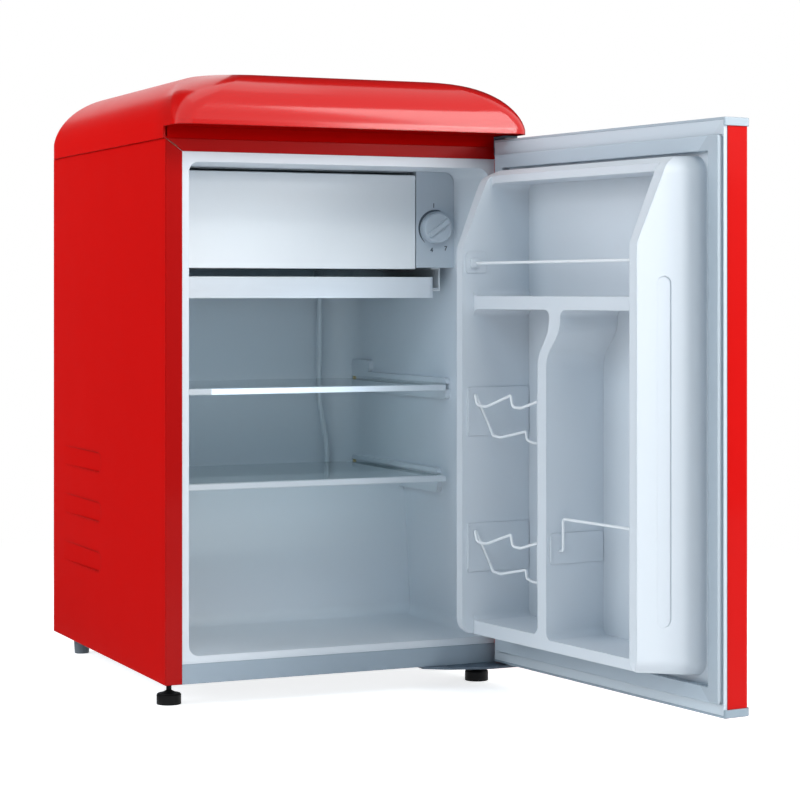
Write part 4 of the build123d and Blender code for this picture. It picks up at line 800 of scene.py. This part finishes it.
@dataclass(frozen=True)
class Aluminium(Finish):
    """Roll bonded evaporator sheet: dull aluminium with a dry frost that thickens in patches."""

    frost: Colour = (0.72, 0.78, 0.84)
    frost_size: float = 0.045
    frost_levels: Pair = (0.42, 0.7)
    frost_cover: float = 0.75
    frost_dulling: float = 0.6
    frost_haze: float = 0.3
    crystal_size: float = 0.0012
    crystal_cover: float = 0.1
    crystal_depth: float = 0.00025
    roughness: float = 0.42
    metallic: float = 0.75
    edge: float = 0.001
    channel_pitch: float = 0.032
    channel_height: float = 0.0012
    channel_profile: Pair = (0.1, 0.3)

    def build(self, paint: Paint) -> bpy.types.NodeSocket:
        """Adds the sheet's nodes.

        Args:
            paint: The material.

        Returns:
            The shader socket.
        """
        patches = paint.noise(self.frost_size, detail=4.0).step(*self.frost_levels)
        crystals = paint.noise(self.crystal_size, detail=3.0)
        _, y, _ = paint.axes()
        channels = 1.0 - (y / self.channel_pitch).math("PINGPONG", 0.5).step(*self.channel_profile)
        blown = paint.bump(channels, self.channel_height, paint.eased_edges(self.edge))
        cover = patches * self.frost_cover + crystals * self.crystal_cover
        return paint.principled(
            Base_Color=paint.blend(cover, self.colour, self.frost),
            Metallic=self.metallic - self.frost_dulling * patches,
            Roughness=self.roughness + self.frost_haze * patches,
            Normal=paint.bump(crystals * patches, self.crystal_depth, blown),
        )


@dataclass(frozen=True)
class Glass(Finish):
    """Clear float glass, a little green through its thickness, that lets light down to the shelf below."""

    roughness: float = 0.015
    smear: float = 0.03
    smear_size: float = 0.05
    refraction: float = 1.5
    let_through: float = 0.93

    def build(self, paint: Paint) -> bpy.types.NodeSocket:
        """Adds the glass's nodes.

        Args:
            paint: The material.

        Returns:
            The shader socket.
        """
        glass = paint.node("ShaderNodeBsdfPrincipled", None, {
            "Base Color": self.colour,
            "Roughness": self.roughness + self.smear * paint.noise(self.smear_size, detail=3.0),
            "Transmission Weight": 1.0,
            "IOR": self.refraction,
        })
        tint = darker(self.colour, self.let_through)
        clear = paint.node("ShaderNodeBsdfTransparent", None, {"Color": tint})
        return paint.mixed(paint.rays(Ray.SHADOW, Ray.DIFFUSE), glass, clear).outputs[0]


@dataclass(frozen=True)
class Foamed(Finish):
    """Rigid polyurethane foam, pale yellow with open bubbles."""

    roughness: float = 0.85
    bubble_scale: float = 420.0
    bubble_depth: float = 0.0008
    bubble_tone: float = 0.6

    def build(self, paint: Paint) -> bpy.types.NodeSocket:
        """Adds the foam's nodes.

        Args:
            paint: The material.

        Returns:
            The shader socket.
        """
        inputs = {"Vector": paint.place(), "Scale": self.bubble_scale}
        cells = paint.signal("ShaderNodeTexVoronoi", {"feature": "SMOOTH_F1"}, inputs, "Distance")
        return paint.principled(
            Base_Color=paint.blend(cells, self.colour, darker(self.colour, self.bubble_tone)),
            Roughness=self.roughness,
            Normal=paint.bump(cells, self.bubble_depth),
        )


@dataclass(frozen=True)
class Ink(Finish):
    """Printed marks and other thin drawn marks, among them the screw slots' painted shade, slightly broken up
    by the plastic's grain.
    """

    roughness: float = 0.45
    grain_size: float = 0.0009
    grain_haze: float = 0.1
    wear: float = 0.3
    worn: Colour = (0.3, 0.33, 0.36)

    def build(self, paint: Paint) -> bpy.types.NodeSocket:
        """Adds the ink's nodes.

        Args:
            paint: The material.

        Returns:
            The shader socket.
        """
        grain = paint.noise(self.grain_size, detail=3.0)
        return paint.principled(
            Base_Color=paint.blend(grain * self.wear, self.colour, self.worn),
            Roughness=self.roughness + self.grain_haze * grain,
        )


RED_ENAMEL = Enamel("red_enamel", srgb(203, 12, 10))
# The cap's underside: a darker, unglossed copy of the red, its darkness painted shade under the overhang
RED_SOFFIT_SHADED = Enamel("red_enamel_soffit_shaded", srgb(184, 7, 6), roughness=0.55, sheen=0.0, coat=0.0)
# The shell's front flange is darkened as painted shade
RED_SHELL = Enamel("red_enamel_shell", srgb(200, 11, 9), flange_shade=0.45)
RED_CAP = Enamel("red_enamel_cap", srgb(207, 14, 12), roughness=0.25, coat_roughness=0.13, front_coat=0.9)
LINER_WHITE = Moulded("liner_white", srgb(224, 230, 236), roughness=0.42)
# The flap's white is set lighter than the liner's, as painted light
FLAP_WHITE_LIT = Moulded("flap_white", srgb(242, 246, 249), roughness=0.36)
# The door liner's white, also used for its brackets, is set darker than the liner's, as painted shade
DOOR_WHITE_SHADED = Moulded("door_white_shaded", srgb(212, 219, 226), roughness=0.42)
TRIM_WHITE = Moulded("trim_white", srgb(228, 234, 239), roughness=0.34)
CONTROL_GREY = Moulded("control_grey", srgb(194, 204, 213), roughness=0.42)
RAIL_GREY = Moulded("rail_grey", srgb(160, 174, 186), roughness=0.42)
# The frame's free-end strip carries a little painted shade
FRAME_GREY = DoorTrim("frame_grey", srgb(206, 216, 224), roughness=0.38, depth=0.06)
# The gasket's own grey, set a little darker as painted shade of the liner wall's shadow; its free-end strip
# also carries painted shade
GASKET_GREY = DoorTrim(
    "gasket_grey", srgb(186, 198, 208), roughness=0.55, grain_size=0.003, grain_depth=0.00003
)
BUSH_PLASTIC = Moulded("bush_plastic", srgb(206, 206, 200), roughness=0.3)
# The door's top and bottom caps are one plastic in a lit and a shaded copy: the top lighter as painted light,
# the bottom darker as painted shade
END_CAP_LIT = Moulded("end_cap_lit", srgb(176, 189, 199), roughness=0.25, gloss=0.5)
END_CAP_SHADED = Moulded("end_cap_shaded", srgb(146, 162, 174), roughness=0.3, gloss=0.5)
PLATED_STEEL = Polished("plated_steel", srgb(176, 180, 184), roughness=0.3)
HINGE_SLATE = Painted("hinge_slate", srgb(88, 104, 119), roughness=0.4, bare=srgb(150, 158, 166))
PANEL_ZINC = Polished("panel_zinc", srgb(158, 162, 166), roughness=0.42, metallic=0.8, spangle=0.5)
BACK_ZINC = Polished(
    "back_zinc", srgb(158, 162, 166), roughness=0.42, metallic=0.8, spangle=0.5, bead_depth=0.0012
)
BLACK_STEEL = Painted("black_steel", srgb(24, 24, 26), roughness=0.42)
CONDENSER_BLACK = Painted("condenser_black", srgb(20, 21, 22), roughness=0.38)
BLACK_RUBBER = Rubber("black_rubber", srgb(22, 22, 23))
FOOT_BLACK = Moulded("foot_black", srgb(15, 15, 16), roughness=0.5, gloss=0.15)
FOOT_GREY = Moulded("foot_grey", srgb(104, 112, 120), roughness=0.5)
COPPER = Copper("copper_tube", srgb(196, 110, 78))
LINE_SLEEVE = Moulded("line_sleeve", srgb(222, 228, 233), roughness=0.45)
EVAPORATOR = Aluminium("evaporator_sheet", srgb(176, 184, 190))
SHELF_GLASS = Glass("shelf_glass", (0.93, 0.97, 0.965))
FOAM = Foamed("foam", srgb(232, 214, 160))
COATED_WIRE = Coated("coated_wire", srgb(236, 240, 244))
DIAL_INK = Ink("dial_ink", srgb(48, 62, 76))
SEAM_DARK = Ink("seam_shadow", srgb(86, 4, 4))
MITRE_LINE = Ink("mitre_line", srgb(132, 146, 158))
# Painted shade standing in for the dark inside of the screws' recessed cross slots
SLOT_SHADE_INK = Ink("slot_painted_shade", srgb(22, 26, 30))


def dress(finish: Finish, *nodes: str) -> None:
    """Gives CAD nodes a finish.

    Args:
        finish: What they are made of.
        *nodes: Their names.
    """
    for name in nodes:
        node = bpy.data.objects[name]
        if not node.material_slots:
            node.data.materials.append(None)
        for slot in node.material_slots:
            slot.material = material_of(finish)
        LOG.info("dressed %s in %s", name, finish.name)


# ---------------------------------------------------------------- small pieces


def door_point(along: float, inward: float, height: float) -> Vector:
    """A place on the door as it stands open.

    Args:
        along: How far it is from the door's hinge end.
        inward: How far it is from the front of the door's carcass line, towards the goods.
        height: Its height above the floor.

    Returns:
        The point.
    """
    run, rise = along - HINGE_INSET, inward - HINGE_BACK
    x = HINGE_X + run * DOOR_RUN[0] + rise * DOOR_IN[0]
    y = HINGE_Y + run * DOOR_RUN[1] + rise * DOOR_IN[1]
    return Vector((x, y, height))


class Former:
    """Gathers closed solids in one mesh, and hands it over as a piece."""

    def __init__(self) -> None:
        """Starts with nothing."""
        self.form = bmesh.new()

    def plate(self, outline: Sequence[Vector], rise: Vector) -> None:
        """Adds a flat outline, thickened one way.

        Args:
            outline: Its corners in order.
            rise: The way and the thickness.
        """
        low = [self.form.verts.new(corner) for corner in outline]
        high = [self.form.verts.new(corner + rise) for corner in outline]
        self.form.faces.new(low)
        self.form.faces.new(list(reversed(high)))
        for here, after in zip(range(len(low)), [*range(1, len(low)), 0]):
            self.form.faces.new((low[after], low[here], high[here], high[after]))

    def strip(self, start: Vector, end: Vector, width: float, rise: Vector) -> None:
        """Adds a straight strip.

        Args:
            start: The middle of one end.
            end: The middle of the other.
            width: Its width.
            rise: The way it stands proud, and how far.
        """
        side = (end - start).cross(rise).normalized() * (width / 2)
        self.plate((start - side, end - side, end + side, start + side), rise)

    def turned(self, profile: Sequence[Pair], middle: Vector, axis: Vector, sides: int) -> None:
        """Adds a solid turned about an axis.

        Args:
            profile: Radius and height of each ring, from the base up.
            middle: The middle of the base.
            axis: The way up, of length 1.
            sides: How many sides a ring has.
        """
        turn = axis.to_track_quat("Z", "Y")
        rings = []
        for radius, height in profile:
            angles = (math.tau * n / sides for n in range(sides))
            points = (Vector((radius * math.cos(a), radius * math.sin(a), height)) for a in angles)
            rings.append([self.form.verts.new(middle + turn @ point) for point in points])
        self.form.faces.new(list(reversed(rings[0])))
        self.form.faces.new(rings[-1])
        for low, high in zip(rings, rings[1:]):
            for here, after in zip(range(sides), [*range(1, sides), 0]):
                self.form.faces.new((low[here], low[after], high[after], high[here]))

    def cross(self, middle: Vector, axis: Vector, reach: float, width: float, proud: float) -> None:
        """Adds a driver's cross on a screw's head.

        Args:
            middle: Its middle, on the head.
            axis: The way that the head faces.
            reach: Half the cross's length.
            width: Its arms' width.
            proud: How far it stands off the head, so that it shows.
        """
        turn = axis.to_track_quat("Z", "Y")
        for arm in (Vector((1, 1, 0)), Vector((1, -1, 0))):
            half = turn @ (arm.normalized() * reach)
            self.strip(middle - half, middle + half, width, axis * proud)

    def piece(self, name: str, finish: Finish, body: str) -> None:
        """Makes the piece.

        Args:
            name: Its name.
            finish: What it is made of.
            body: The body that it rides on.
        """
        bmesh.ops.recalc_face_normals(self.form, faces=self.form.faces)
        mesh = bpy.data.meshes.new(name)
        self.form.to_mesh(mesh)
        self.form.free()
        mesh.materials.append(material_of(finish))
        made = bpy.data.objects.new(name, mesh)
        bpy.context.scene.collection.objects.link(made)
        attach(made, body)
        LOG.info("made %s in %s on %s", name, finish.name, body)


# ---------------------------------------------------------------- the fridge


class Assembly(ABC):
    """One sub-assembly of the fridge."""

    @abstractmethod
    def dress(self) -> None:
        """Gives the sub-assembly's CAD nodes their finishes."""

    def build(self) -> None:
        """Makes the sub-assembly's small pieces, where it has any."""


@dataclass
class Cabinet(Assembly):
    """The red steel outer case with its plinth, back and feet."""

    half_width: float = 0.245
    front: float = -0.26
    back: float = 0.26
    opening_half: float = 0.2285
    opening_top: float = 0.719
    top: float = 0.729
    mitre_width: float = 0.0006
    mitre_proud: float = 0.00012
    screw_side: float = 0.236
    screw_heights: tuple[float, ...] = (0.249, 0.366, 0.482, 0.599, 0.716)
    screw_rows: tuple[float, ...] = (-0.118, 0.0, 0.118)
    head: tuple[Pair, ...] = ((0.0036, 0.0), (0.0036, 0.0008), (0.003, 0.0017), (0.0018, 0.0022))
    head_sides: int = 20
    cross_reach: float = 0.0016
    cross_width: float = 0.0006
    cross_proud: float = 0.0001

    def dress(self) -> None:
        """Finishes the case."""
        dress(RED_SHELL, "cabinet_shell")
        dress(BACK_ZINC, "back_panel")
        dress(PANEL_ZINC, "base_tray", "bay_panel")
        dress(RAIL_GREY, "kick_rail")
        dress(FOAM, "foam_insulation")
        dress(FOOT_BLACK, "front_left_foot", "front_right_foot")
        dress(FOOT_GREY, "rear_feet")
        dress(PLATED_STEEL, "foot_nuts")

    def build(self) -> None:
        """Makes the folded front's mitre lines and the back panel's screws."""
        mitres = Former()
        for side in (-1, 1):
            outer = Vector((side * self.half_width, self.front, self.top))
            inner = Vector((side * self.opening_half, self.front, self.opening_top))
            mitres.strip(outer, inner, self.mitre_width, Vector((0, -self.mitre_proud, 0)))
        mitres.piece("front_mitre_lines", SEAM_DARK, "cabinet")
        heads, slots = Former(), Former()
        ends = (self.screw_heights[0], self.screw_heights[-1])
        places = [(side * self.screw_side, height) for side in (-1, 1) for height in self.screw_heights]
        places += [(x, height) for x in self.screw_rows for height in ends]
        outward = Vector((0, 1, 0))
        for x, height in places:
            middle = Vector((x, self.back, height))
            crown = middle + outward * self.head[-1][1]
            heads.turned(self.head, middle, outward, self.head_sides)
            slots.cross(crown, outward, self.cross_reach, self.cross_width, self.cross_proud)
        heads.piece("back_panel_screws", PLATED_STEEL, "cabinet")
        # The dark crosses are painted shade standing in for the heads' recessed slots
        slots.piece("back_panel_screw_slots", SLOT_SHADE_INK, "cabinet")


@dataclass
class Cap(Assembly):
    """The deep rounded red top, which has no small pieces."""

    def dress(self) -> None:
        """Finishes the cap and its base."""
        dress(RED_CAP, "top_cap")
        # The base under the overhang is a darker red, as painted shade
        dress(RED_SOFFIT_SHADED, "cap_base")


@dataclass
class Interior(Assembly):
    """The white liner and everything fixed or sliding in it."""

    dial: Point = (0.184, -0.152, 0.622)
    scale_radius: float = 0.0256
    scale_start: float = 20.0
    scale_end: float = -142.0
    scale_steps: int = 54
    scale_width: float = 0.0032
    scale_tip: float = 0.0003
    scale_thinnest: float = 0.12
    scale_lean: float = 0.8
    scale_fullness: float = 0.7
    ink_depth: float = 0.0002
    numeral_size: float = 0.0085
    numeral_weight: float = 0.00025
    numerals: tuple[tuple[str, float, float], ...] = (
        ("1", -4.0, 0.0312),
        ("4", 190.0, 0.031),
        ("7", 150.0, 0.0325),
    )

    def dress(self) -> None:
        """Finishes the liner, the freezer compartment, the tray and the shelves."""
        dress(LINER_WHITE, "inner_liner", "drip_tray")
        dress(EVAPORATOR, "freezer_box")
        # The flap's lighter white is painted light
        dress(FLAP_WHITE_LIT, "freezer_flap", "flap_hinge_pins", "drip_tray_runners")
        dress(CONTROL_GREY, "control_housing", "thermostat_knob")
        dress(PLATED_STEEL, "thermostat", "thermostat_shaft")
        dress(LINE_SLEEVE, "refrigerant_line")
        dress(BLACK_RUBBER, "line_grommet")
        dress(SHELF_GLASS, "upper_shelf_glass", "lower_shelf_glass")
        dress(TRIM_WHITE, "upper_shelf_trim", "lower_shelf_trim")

    def on_dial(self, degrees: float, radius: float) -> Vector:
        """A place round the knob.

        Args:
            degrees: Its angle, clockwise from twelve o'clock.
            radius: Its distance from the knob's middle.

        Returns:
            The point, on the housing's face.
        """
        angle = math.radians(degrees)
        return Vector(self.dial) + Vector((radius * math.sin(angle), 0.0, radius * math.cos(angle)))

    def scale_width_at(self, share: float) -> float:
        """How wide the dial's scale is at a place along it.

        Args:
            share: The place, from 0 at the scale's start to 1 at its end.

        Returns:
            The width, which is fine at both ends and full between them.
        """
        if not 0 < share < 1:
            return self.scale_tip
        swell = math.sin(math.pi * share ** self.scale_lean) ** self.scale_fullness
        return self.scale_width * (self.scale_thinnest + (1 - self.scale_thinnest) * swell)

    def build(self) -> None:
        """Prints the dial's tapered scale and its numbers."""
        outer, inner = [], []
        for n in range(self.scale_steps + 1):
            share = n / self.scale_steps
            degrees = self.scale_start + (self.scale_end - self.scale_start) * share
            outer.append(self.on_dial(degrees, self.scale_radius))
            inner.append(self.on_dial(degrees, self.scale_radius - self.scale_width_at(share)))
        scale = Former()
        scale.plate([*outer, *reversed(inner)], Vector((0, -self.ink_depth, 0)))
        scale.piece("dial_scale", DIAL_INK, "cabinet")
        for text, degrees, radius in self.numerals:
            self.numeral(text, self.on_dial(degrees, radius))

    def numeral(self, text: str, where: Vector) -> None:
        """Prints one number.

        Args:
            text: The number.
            where: Its middle.
        """
        curve = bpy.data.curves.new(f"dial_number_{text}", "FONT")
        curve.body = text
        curve.size = self.numeral_size
        curve.align_x, curve.align_y = "CENTER", "CENTER"
        curve.extrude = self.ink_depth / 2
        curve.offset = self.numeral_weight
        curve.materials.append(material_of(DIAL_INK))
        number = bpy.data.objects.new(f"dial_number_{text}", curve)
        number.rotation_euler = (math.radians(90), 0.0, 0.0)
        number.location = where
        bpy.context.scene.collection.objects.link(number)
        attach(number, "cabinet")
        LOG.info("made dial_number_%s", text)


@dataclass
class Machinery(Assembly):
    """The cooling unit in its bay and on the back, which has no small pieces."""

    def dress(self) -> None:
        """Finishes the compressor, its fittings and the condenser."""
        dress(BLACK_STEEL, "compressor")
        dress(BLACK_RUBBER, "compressor_grommets")
        dress(FOOT_BLACK, "terminal_cover", "evaporation_tray")
        dress(COPPER, "filter_drier")
        dress(CONDENSER_BLACK, "condenser_tube")


@dataclass
class Door(Assembly):
    """The hung door with its moulded liner and wire fittings."""

    seal_face: float = 0.0115
    seal_ends: Pair = (0.0115, 0.4825)
    seal_heights: Pair = (0.0525, 0.7165)
    seal_width: float = 0.016
    line_width: float = 0.0006
    line_proud: float = 0.0001
    top_screws: tuple[Point, ...] = ((0.226, -0.2637, 0.721), (0.238, -0.2637, 0.721))
    cross_reach: float = 0.0022
    cross_width: float = 0.0008
    cross_proud: float = 0.0001

    def dress(self) -> None:
        """Finishes the door."""
        dress(RED_ENAMEL, "door_skin")
        # The top cap is the lit copy and the bottom cap the shaded copy, as painted light and shade
        dress(END_CAP_LIT, "door_top_cap")
        dress(END_CAP_SHADED, "door_bottom_cap")
        dress(FOAM, "door_foam")
        # The door liner's darker white is painted shade
        dress(DOOR_WHITE_SHADED, "door_liner")
        dress(FRAME_GREY, "door_frame")
        dress(GASKET_GREY, "door_gasket")
        dress(BUSH_PLASTIC, "hinge_bushes")
        dress(DOOR_WHITE_SHADED, "shelf_bail_brackets", "can_rack_brackets", "bottle_bail_brackets")
        dress(COATED_WIRE, "top_shelf_bail", "upper_can_rack", "lower_can_rack", "bottle_bail")
        dress(HINGE_SLATE, "bottom_hinge_plate", "top_hinge_bracket")
        dress(PLATED_STEEL, "bottom_hinge_pin", "top_hinge_pin", "hinge_screws")

    def build(self) -> None:
        """Makes the gasket's mitre lines and the hinge screws' crosses."""
        inward = Vector((*DOOR_IN, 0.0))
        lines = Former()
        for end, height in ((e, h) for e in (0, 1) for h in (0, 1)):
            along, level = self.seal_ends[end], self.seal_heights[height]
            outer = door_point(along, self.seal_face, level)
            step, rise = self.seal_width * (1 - 2 * end), self.seal_width * (1 - 2 * height)
            inner = door_point(along + step, self.seal_face, level + rise)
            lines.strip(outer, inner, self.line_width, inward * self.line_proud)
        lines.piece("gasket_mitre_lines", MITRE_LINE, "door")
        slots, outward = Former(), Vector((0, -1, 0))
        for place in self.top_screws:
            slots.cross(Vector(place), outward, self.cross_reach, self.cross_width, self.cross_proud)
        # The dark crosses are painted shade standing in for the heads' recessed slots
        slots.piece("hinge_screw_slots", SLOT_SHADE_INK, "cabinet")


# ---------------------------------------------------------------- the studio


@dataclass(frozen=True)
class Softbox:
    """A rectangular lamp, aimed at one place."""

    name: str
    where: Point
    aim: Point
    size: Pair
    power: float
    colour: Colour = WHITE
    mirrored: bool = False

    def build(self) -> None:
        """Hangs the lamp, which no view shows, and gloss only where it is mirrored."""
        data = bpy.data.lights.new(self.name, "AREA")
        data.shape = "RECTANGLE"
        data.size, data.size_y = self.size
        data.energy = self.power
        data.color = self.colour
        lamp = bpy.data.objects.new(self.name, data)
        lamp.location = self.where
        lamp.rotation_mode = "QUATERNION"
        lamp.rotation_quaternion = (Vector(self.aim) - Vector(self.where)).to_track_quat("-Z", "Y")
        lamp.visible_camera = False
        lamp.visible_glossy = self.mirrored
        bpy.context.scene.collection.objects.link(lamp)
        LOG.info("lamp %s of %.0f W", self.name, self.power)


@dataclass(frozen=True)
class Board:
    """A black studio board that only reflections see, which keeps the white room out of one face's gloss."""

    name: str
    corners: tuple[Point, Point, Point, Point]
    nap_size: float = 0.004
    nap_tones: tuple[Colour, Colour] = ((0.004, 0.004, 0.004), (0.008, 0.008, 0.008))
    roughness: float = 0.95

    def build(self) -> None:
        """Stands the board."""
        mesh = bpy.data.meshes.new(self.name)
        mesh.from_pydata([Vector(corner) for corner in self.corners], [], [(0, 1, 2, 3)])
        paint = Paint(bpy.data.materials.new(self.name))
        nap = paint.blend(paint.noise(self.nap_size, detail=3.0), *self.nap_tones)
        mesh.materials.append(paint.done(paint.principled(Base_Color=nap, Roughness=self.roughness)))
        board = bpy.data.objects.new(self.name, mesh)
        bpy.context.scene.collection.objects.link(board)
        board.visible_camera = False
        board.visible_diffuse = False
        board.visible_shadow = False
        board.visible_transmission = False


@dataclass
class Studio:
    """A pale floor, a white surround, soft lamps, black boards and the camera."""

    eye: Point = (-1.1648, -3.0273, 0.5328)
    heading: float = math.radians(24.25)
    focal_share: float = 2.855625
    horizon_shift: float = -0.1345
    sensor: float = 36.0
    floor_half: float = 6.0
    floor_colour: Colour = (0.9, 0.91, 0.92)
    floor_lift: float = 0.72
    floor_fade: Pair = (0.8, 1.76)
    room_colour: Colour = (0.94, 0.97, 1.0)
    room_strength: float = 0.15
    lamps: tuple[Softbox, ...] = (
        Softbox("key_softbox", (-1.9, -2.9, 2.3), (0.0, 0.0, 0.45), (1.4, 1.4), 22.0, (0.66, 0.85, 1.0)),
        Softbox("side_softbox", (-2.3, 0.2, 1.2), (-0.2, 0.0, 0.4), (0.8, 1.2), 12.0, (0.92, 0.97, 1.0)),
        Softbox("left_softbox", (-2.5, -0.5, 1.4), (-0.2, 0.0, 0.4), (1.0, 1.2), 15.0, (0.92, 0.97, 1.0)),
        Softbox("low_softbox", (0.35, -2.6, 0.35), (0.0, 0.0, 0.4), (1.2, 0.8), 2.5, (0.75, 0.85, 1.0)),
        Softbox("front_softbox", (0.3, -2.3, 2.4), (0.0, 0.0, 0.5), (1.4, 0.8), 20.0, (1.0, 1.0, 0.97)),
        Softbox("crown_softbox", (1.5, -2.2, 1.95), (0.1, -0.3, 0.78), (1.1, 1.5), 28.0, mirrored=True),
        Softbox("right_softbox", (2.2, -1.9, 1.2), (0.1, -0.2, 0.5), (0.8, 1.6), 14.0, (0.97, 1.0, 0.97)),
        Softbox("lip_softbox", (1.75, -3.3, 1.17), (0.15, -0.3, 0.75), (0.9, 0.3), 19.0, mirrored=True),
        Softbox("rear_softbox", (-1.7, 0.8, 1.5), (-0.2, 0.0, 0.4), (0.9, 1.4), 17.0),
        Softbox("top_softbox", (0.0, 0.1, 2.6), (0.0, 0.0, 0.8), (1.4, 1.2), 3.0, mirrored=True),
        Softbox("inner_fill", (-0.06, -0.17, 0.43), (0.06, 0.2, 0.43), (0.3, 0.14), 0.16, (0.68, 0.85, 1.0)),
    )
    boards: tuple[Board, ...] = (
        Board("side_board", ((-2.6, 1.0, 0.0), (-0.3, 1.0, 0.0), (-0.3, 1.0, 3.4), (-2.6, 1.0, 3.4))),
        Board(
            "side_mat", ((-2.4, -0.4, 0.001), (-0.26, -0.4, 0.001), (-0.26, 1.0, 0.001), (-2.4, 1.0, 0.001))
        ),
        Board("right_board", ((0.3, 1.0, 0.0), (2.6, 1.0, 0.0), (2.6, 1.0, 3.4), (0.3, 1.0, 3.4))),
        Board("right_mat", ((0.26, 0.0, 0.001), (2.4, 0.0, 0.001), (2.4, 1.0, 0.001), (0.26, 1.0, 0.001))),
        Board("front_board", ((0.1, -3.2, 0.0), (3.0, -2.6, 0.0), (3.0, -2.6, 0.74), (0.1, -3.2, 1.06))),
    )

    def build(self) -> None:
        """Makes the whole studio."""
        bpy.context.scene.view_settings.view_transform = "Standard"
        self.build_camera()
        self.build_world()
        self.build_floor()
        for lamp in self.lamps:
            lamp.build()
        for board in self.boards:
            board.build()

    def build_camera(self) -> None:
        """Stands the camera where the object is looked at from."""
        data = bpy.data.cameras.new("camera")
        data.sensor_width = self.sensor
        data.lens = self.sensor * self.focal_share
        data.shift_y = self.horizon_shift
        camera = bpy.data.objects.new("camera", data)
        camera.location = self.eye
        camera.rotation_euler = (math.radians(90), 0.0, -self.heading)
        bpy.context.scene.collection.objects.link(camera)
        bpy.context.scene.camera = camera

    def build_world(self) -> None:
        """Lights the room evenly and shows white behind the object."""
        world = bpy.data.worlds.new("studio_room")
        bpy.context.scene.world = world
        room = Paint(world, "ShaderNodeOutputWorld")
        inputs = {"Color": self.room_colour, "Strength": self.room_strength}
        light = room.node("ShaderNodeBackground", None, inputs)
        white = room.node("ShaderNodeBackground", None, {"Color": WHITE, "Strength": 1.0})
        room.done(room.mixed(room.rays(*SIGHT), light, white).outputs[0])

    def build_floor(self) -> None:
        """Lays the pale floor, which the camera sees as white apart from the object's shadow."""
        mesh = bpy.data.meshes.new("studio_floor")
        half = self.floor_half
        corners = [(-half, -half, 0), (half, -half, 0), (half, half, 0), (-half, half, 0)]
        mesh.from_pydata(corners, [], [(0, 1, 2, 3)])
        floor = bpy.data.objects.new("studio_floor", mesh)
        bpy.context.scene.collection.objects.link(floor)
        paint = Paint(bpy.data.materials.new("floor_pale"))
        pale = paint.node("ShaderNodeBsdfDiffuse", None, {"Color": self.floor_colour})
        lift = paint.node("ShaderNodeEmission", None, {"Color": WHITE, "Strength": self.floor_lift})
        white = paint.node("ShaderNodeEmission", None, {"Color": WHITE, "Strength": 1.0})
        near = paint.node("ShaderNodeAddShader", None, {0: pale.outputs[0], 1: lift.outputs[0]})
        distance = paint.signal("ShaderNodeVectorMath", {"operation": "LENGTH"}, {0: paint.place()}, "Value")
        seen = paint.mixed(distance.step(*self.floor_fade), near, white)
        mesh.materials.append(paint.done(paint.mixed(paint.rays(*SIGHT), pale, seen).outputs[0]))


def main() -> None:
    """Loads the frame, builds and dresses each sub-assembly, and sets up the studio."""
    logging.basicConfig(level=logging.INFO, format="%(name)s: %(message)s")
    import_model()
    for assembly in (Cabinet(), Cap(), Interior(), Machinery(), Door()):
        assembly.dress()
        assembly.build()
    Studio().build()


if __name__ == "__main__":
    main()
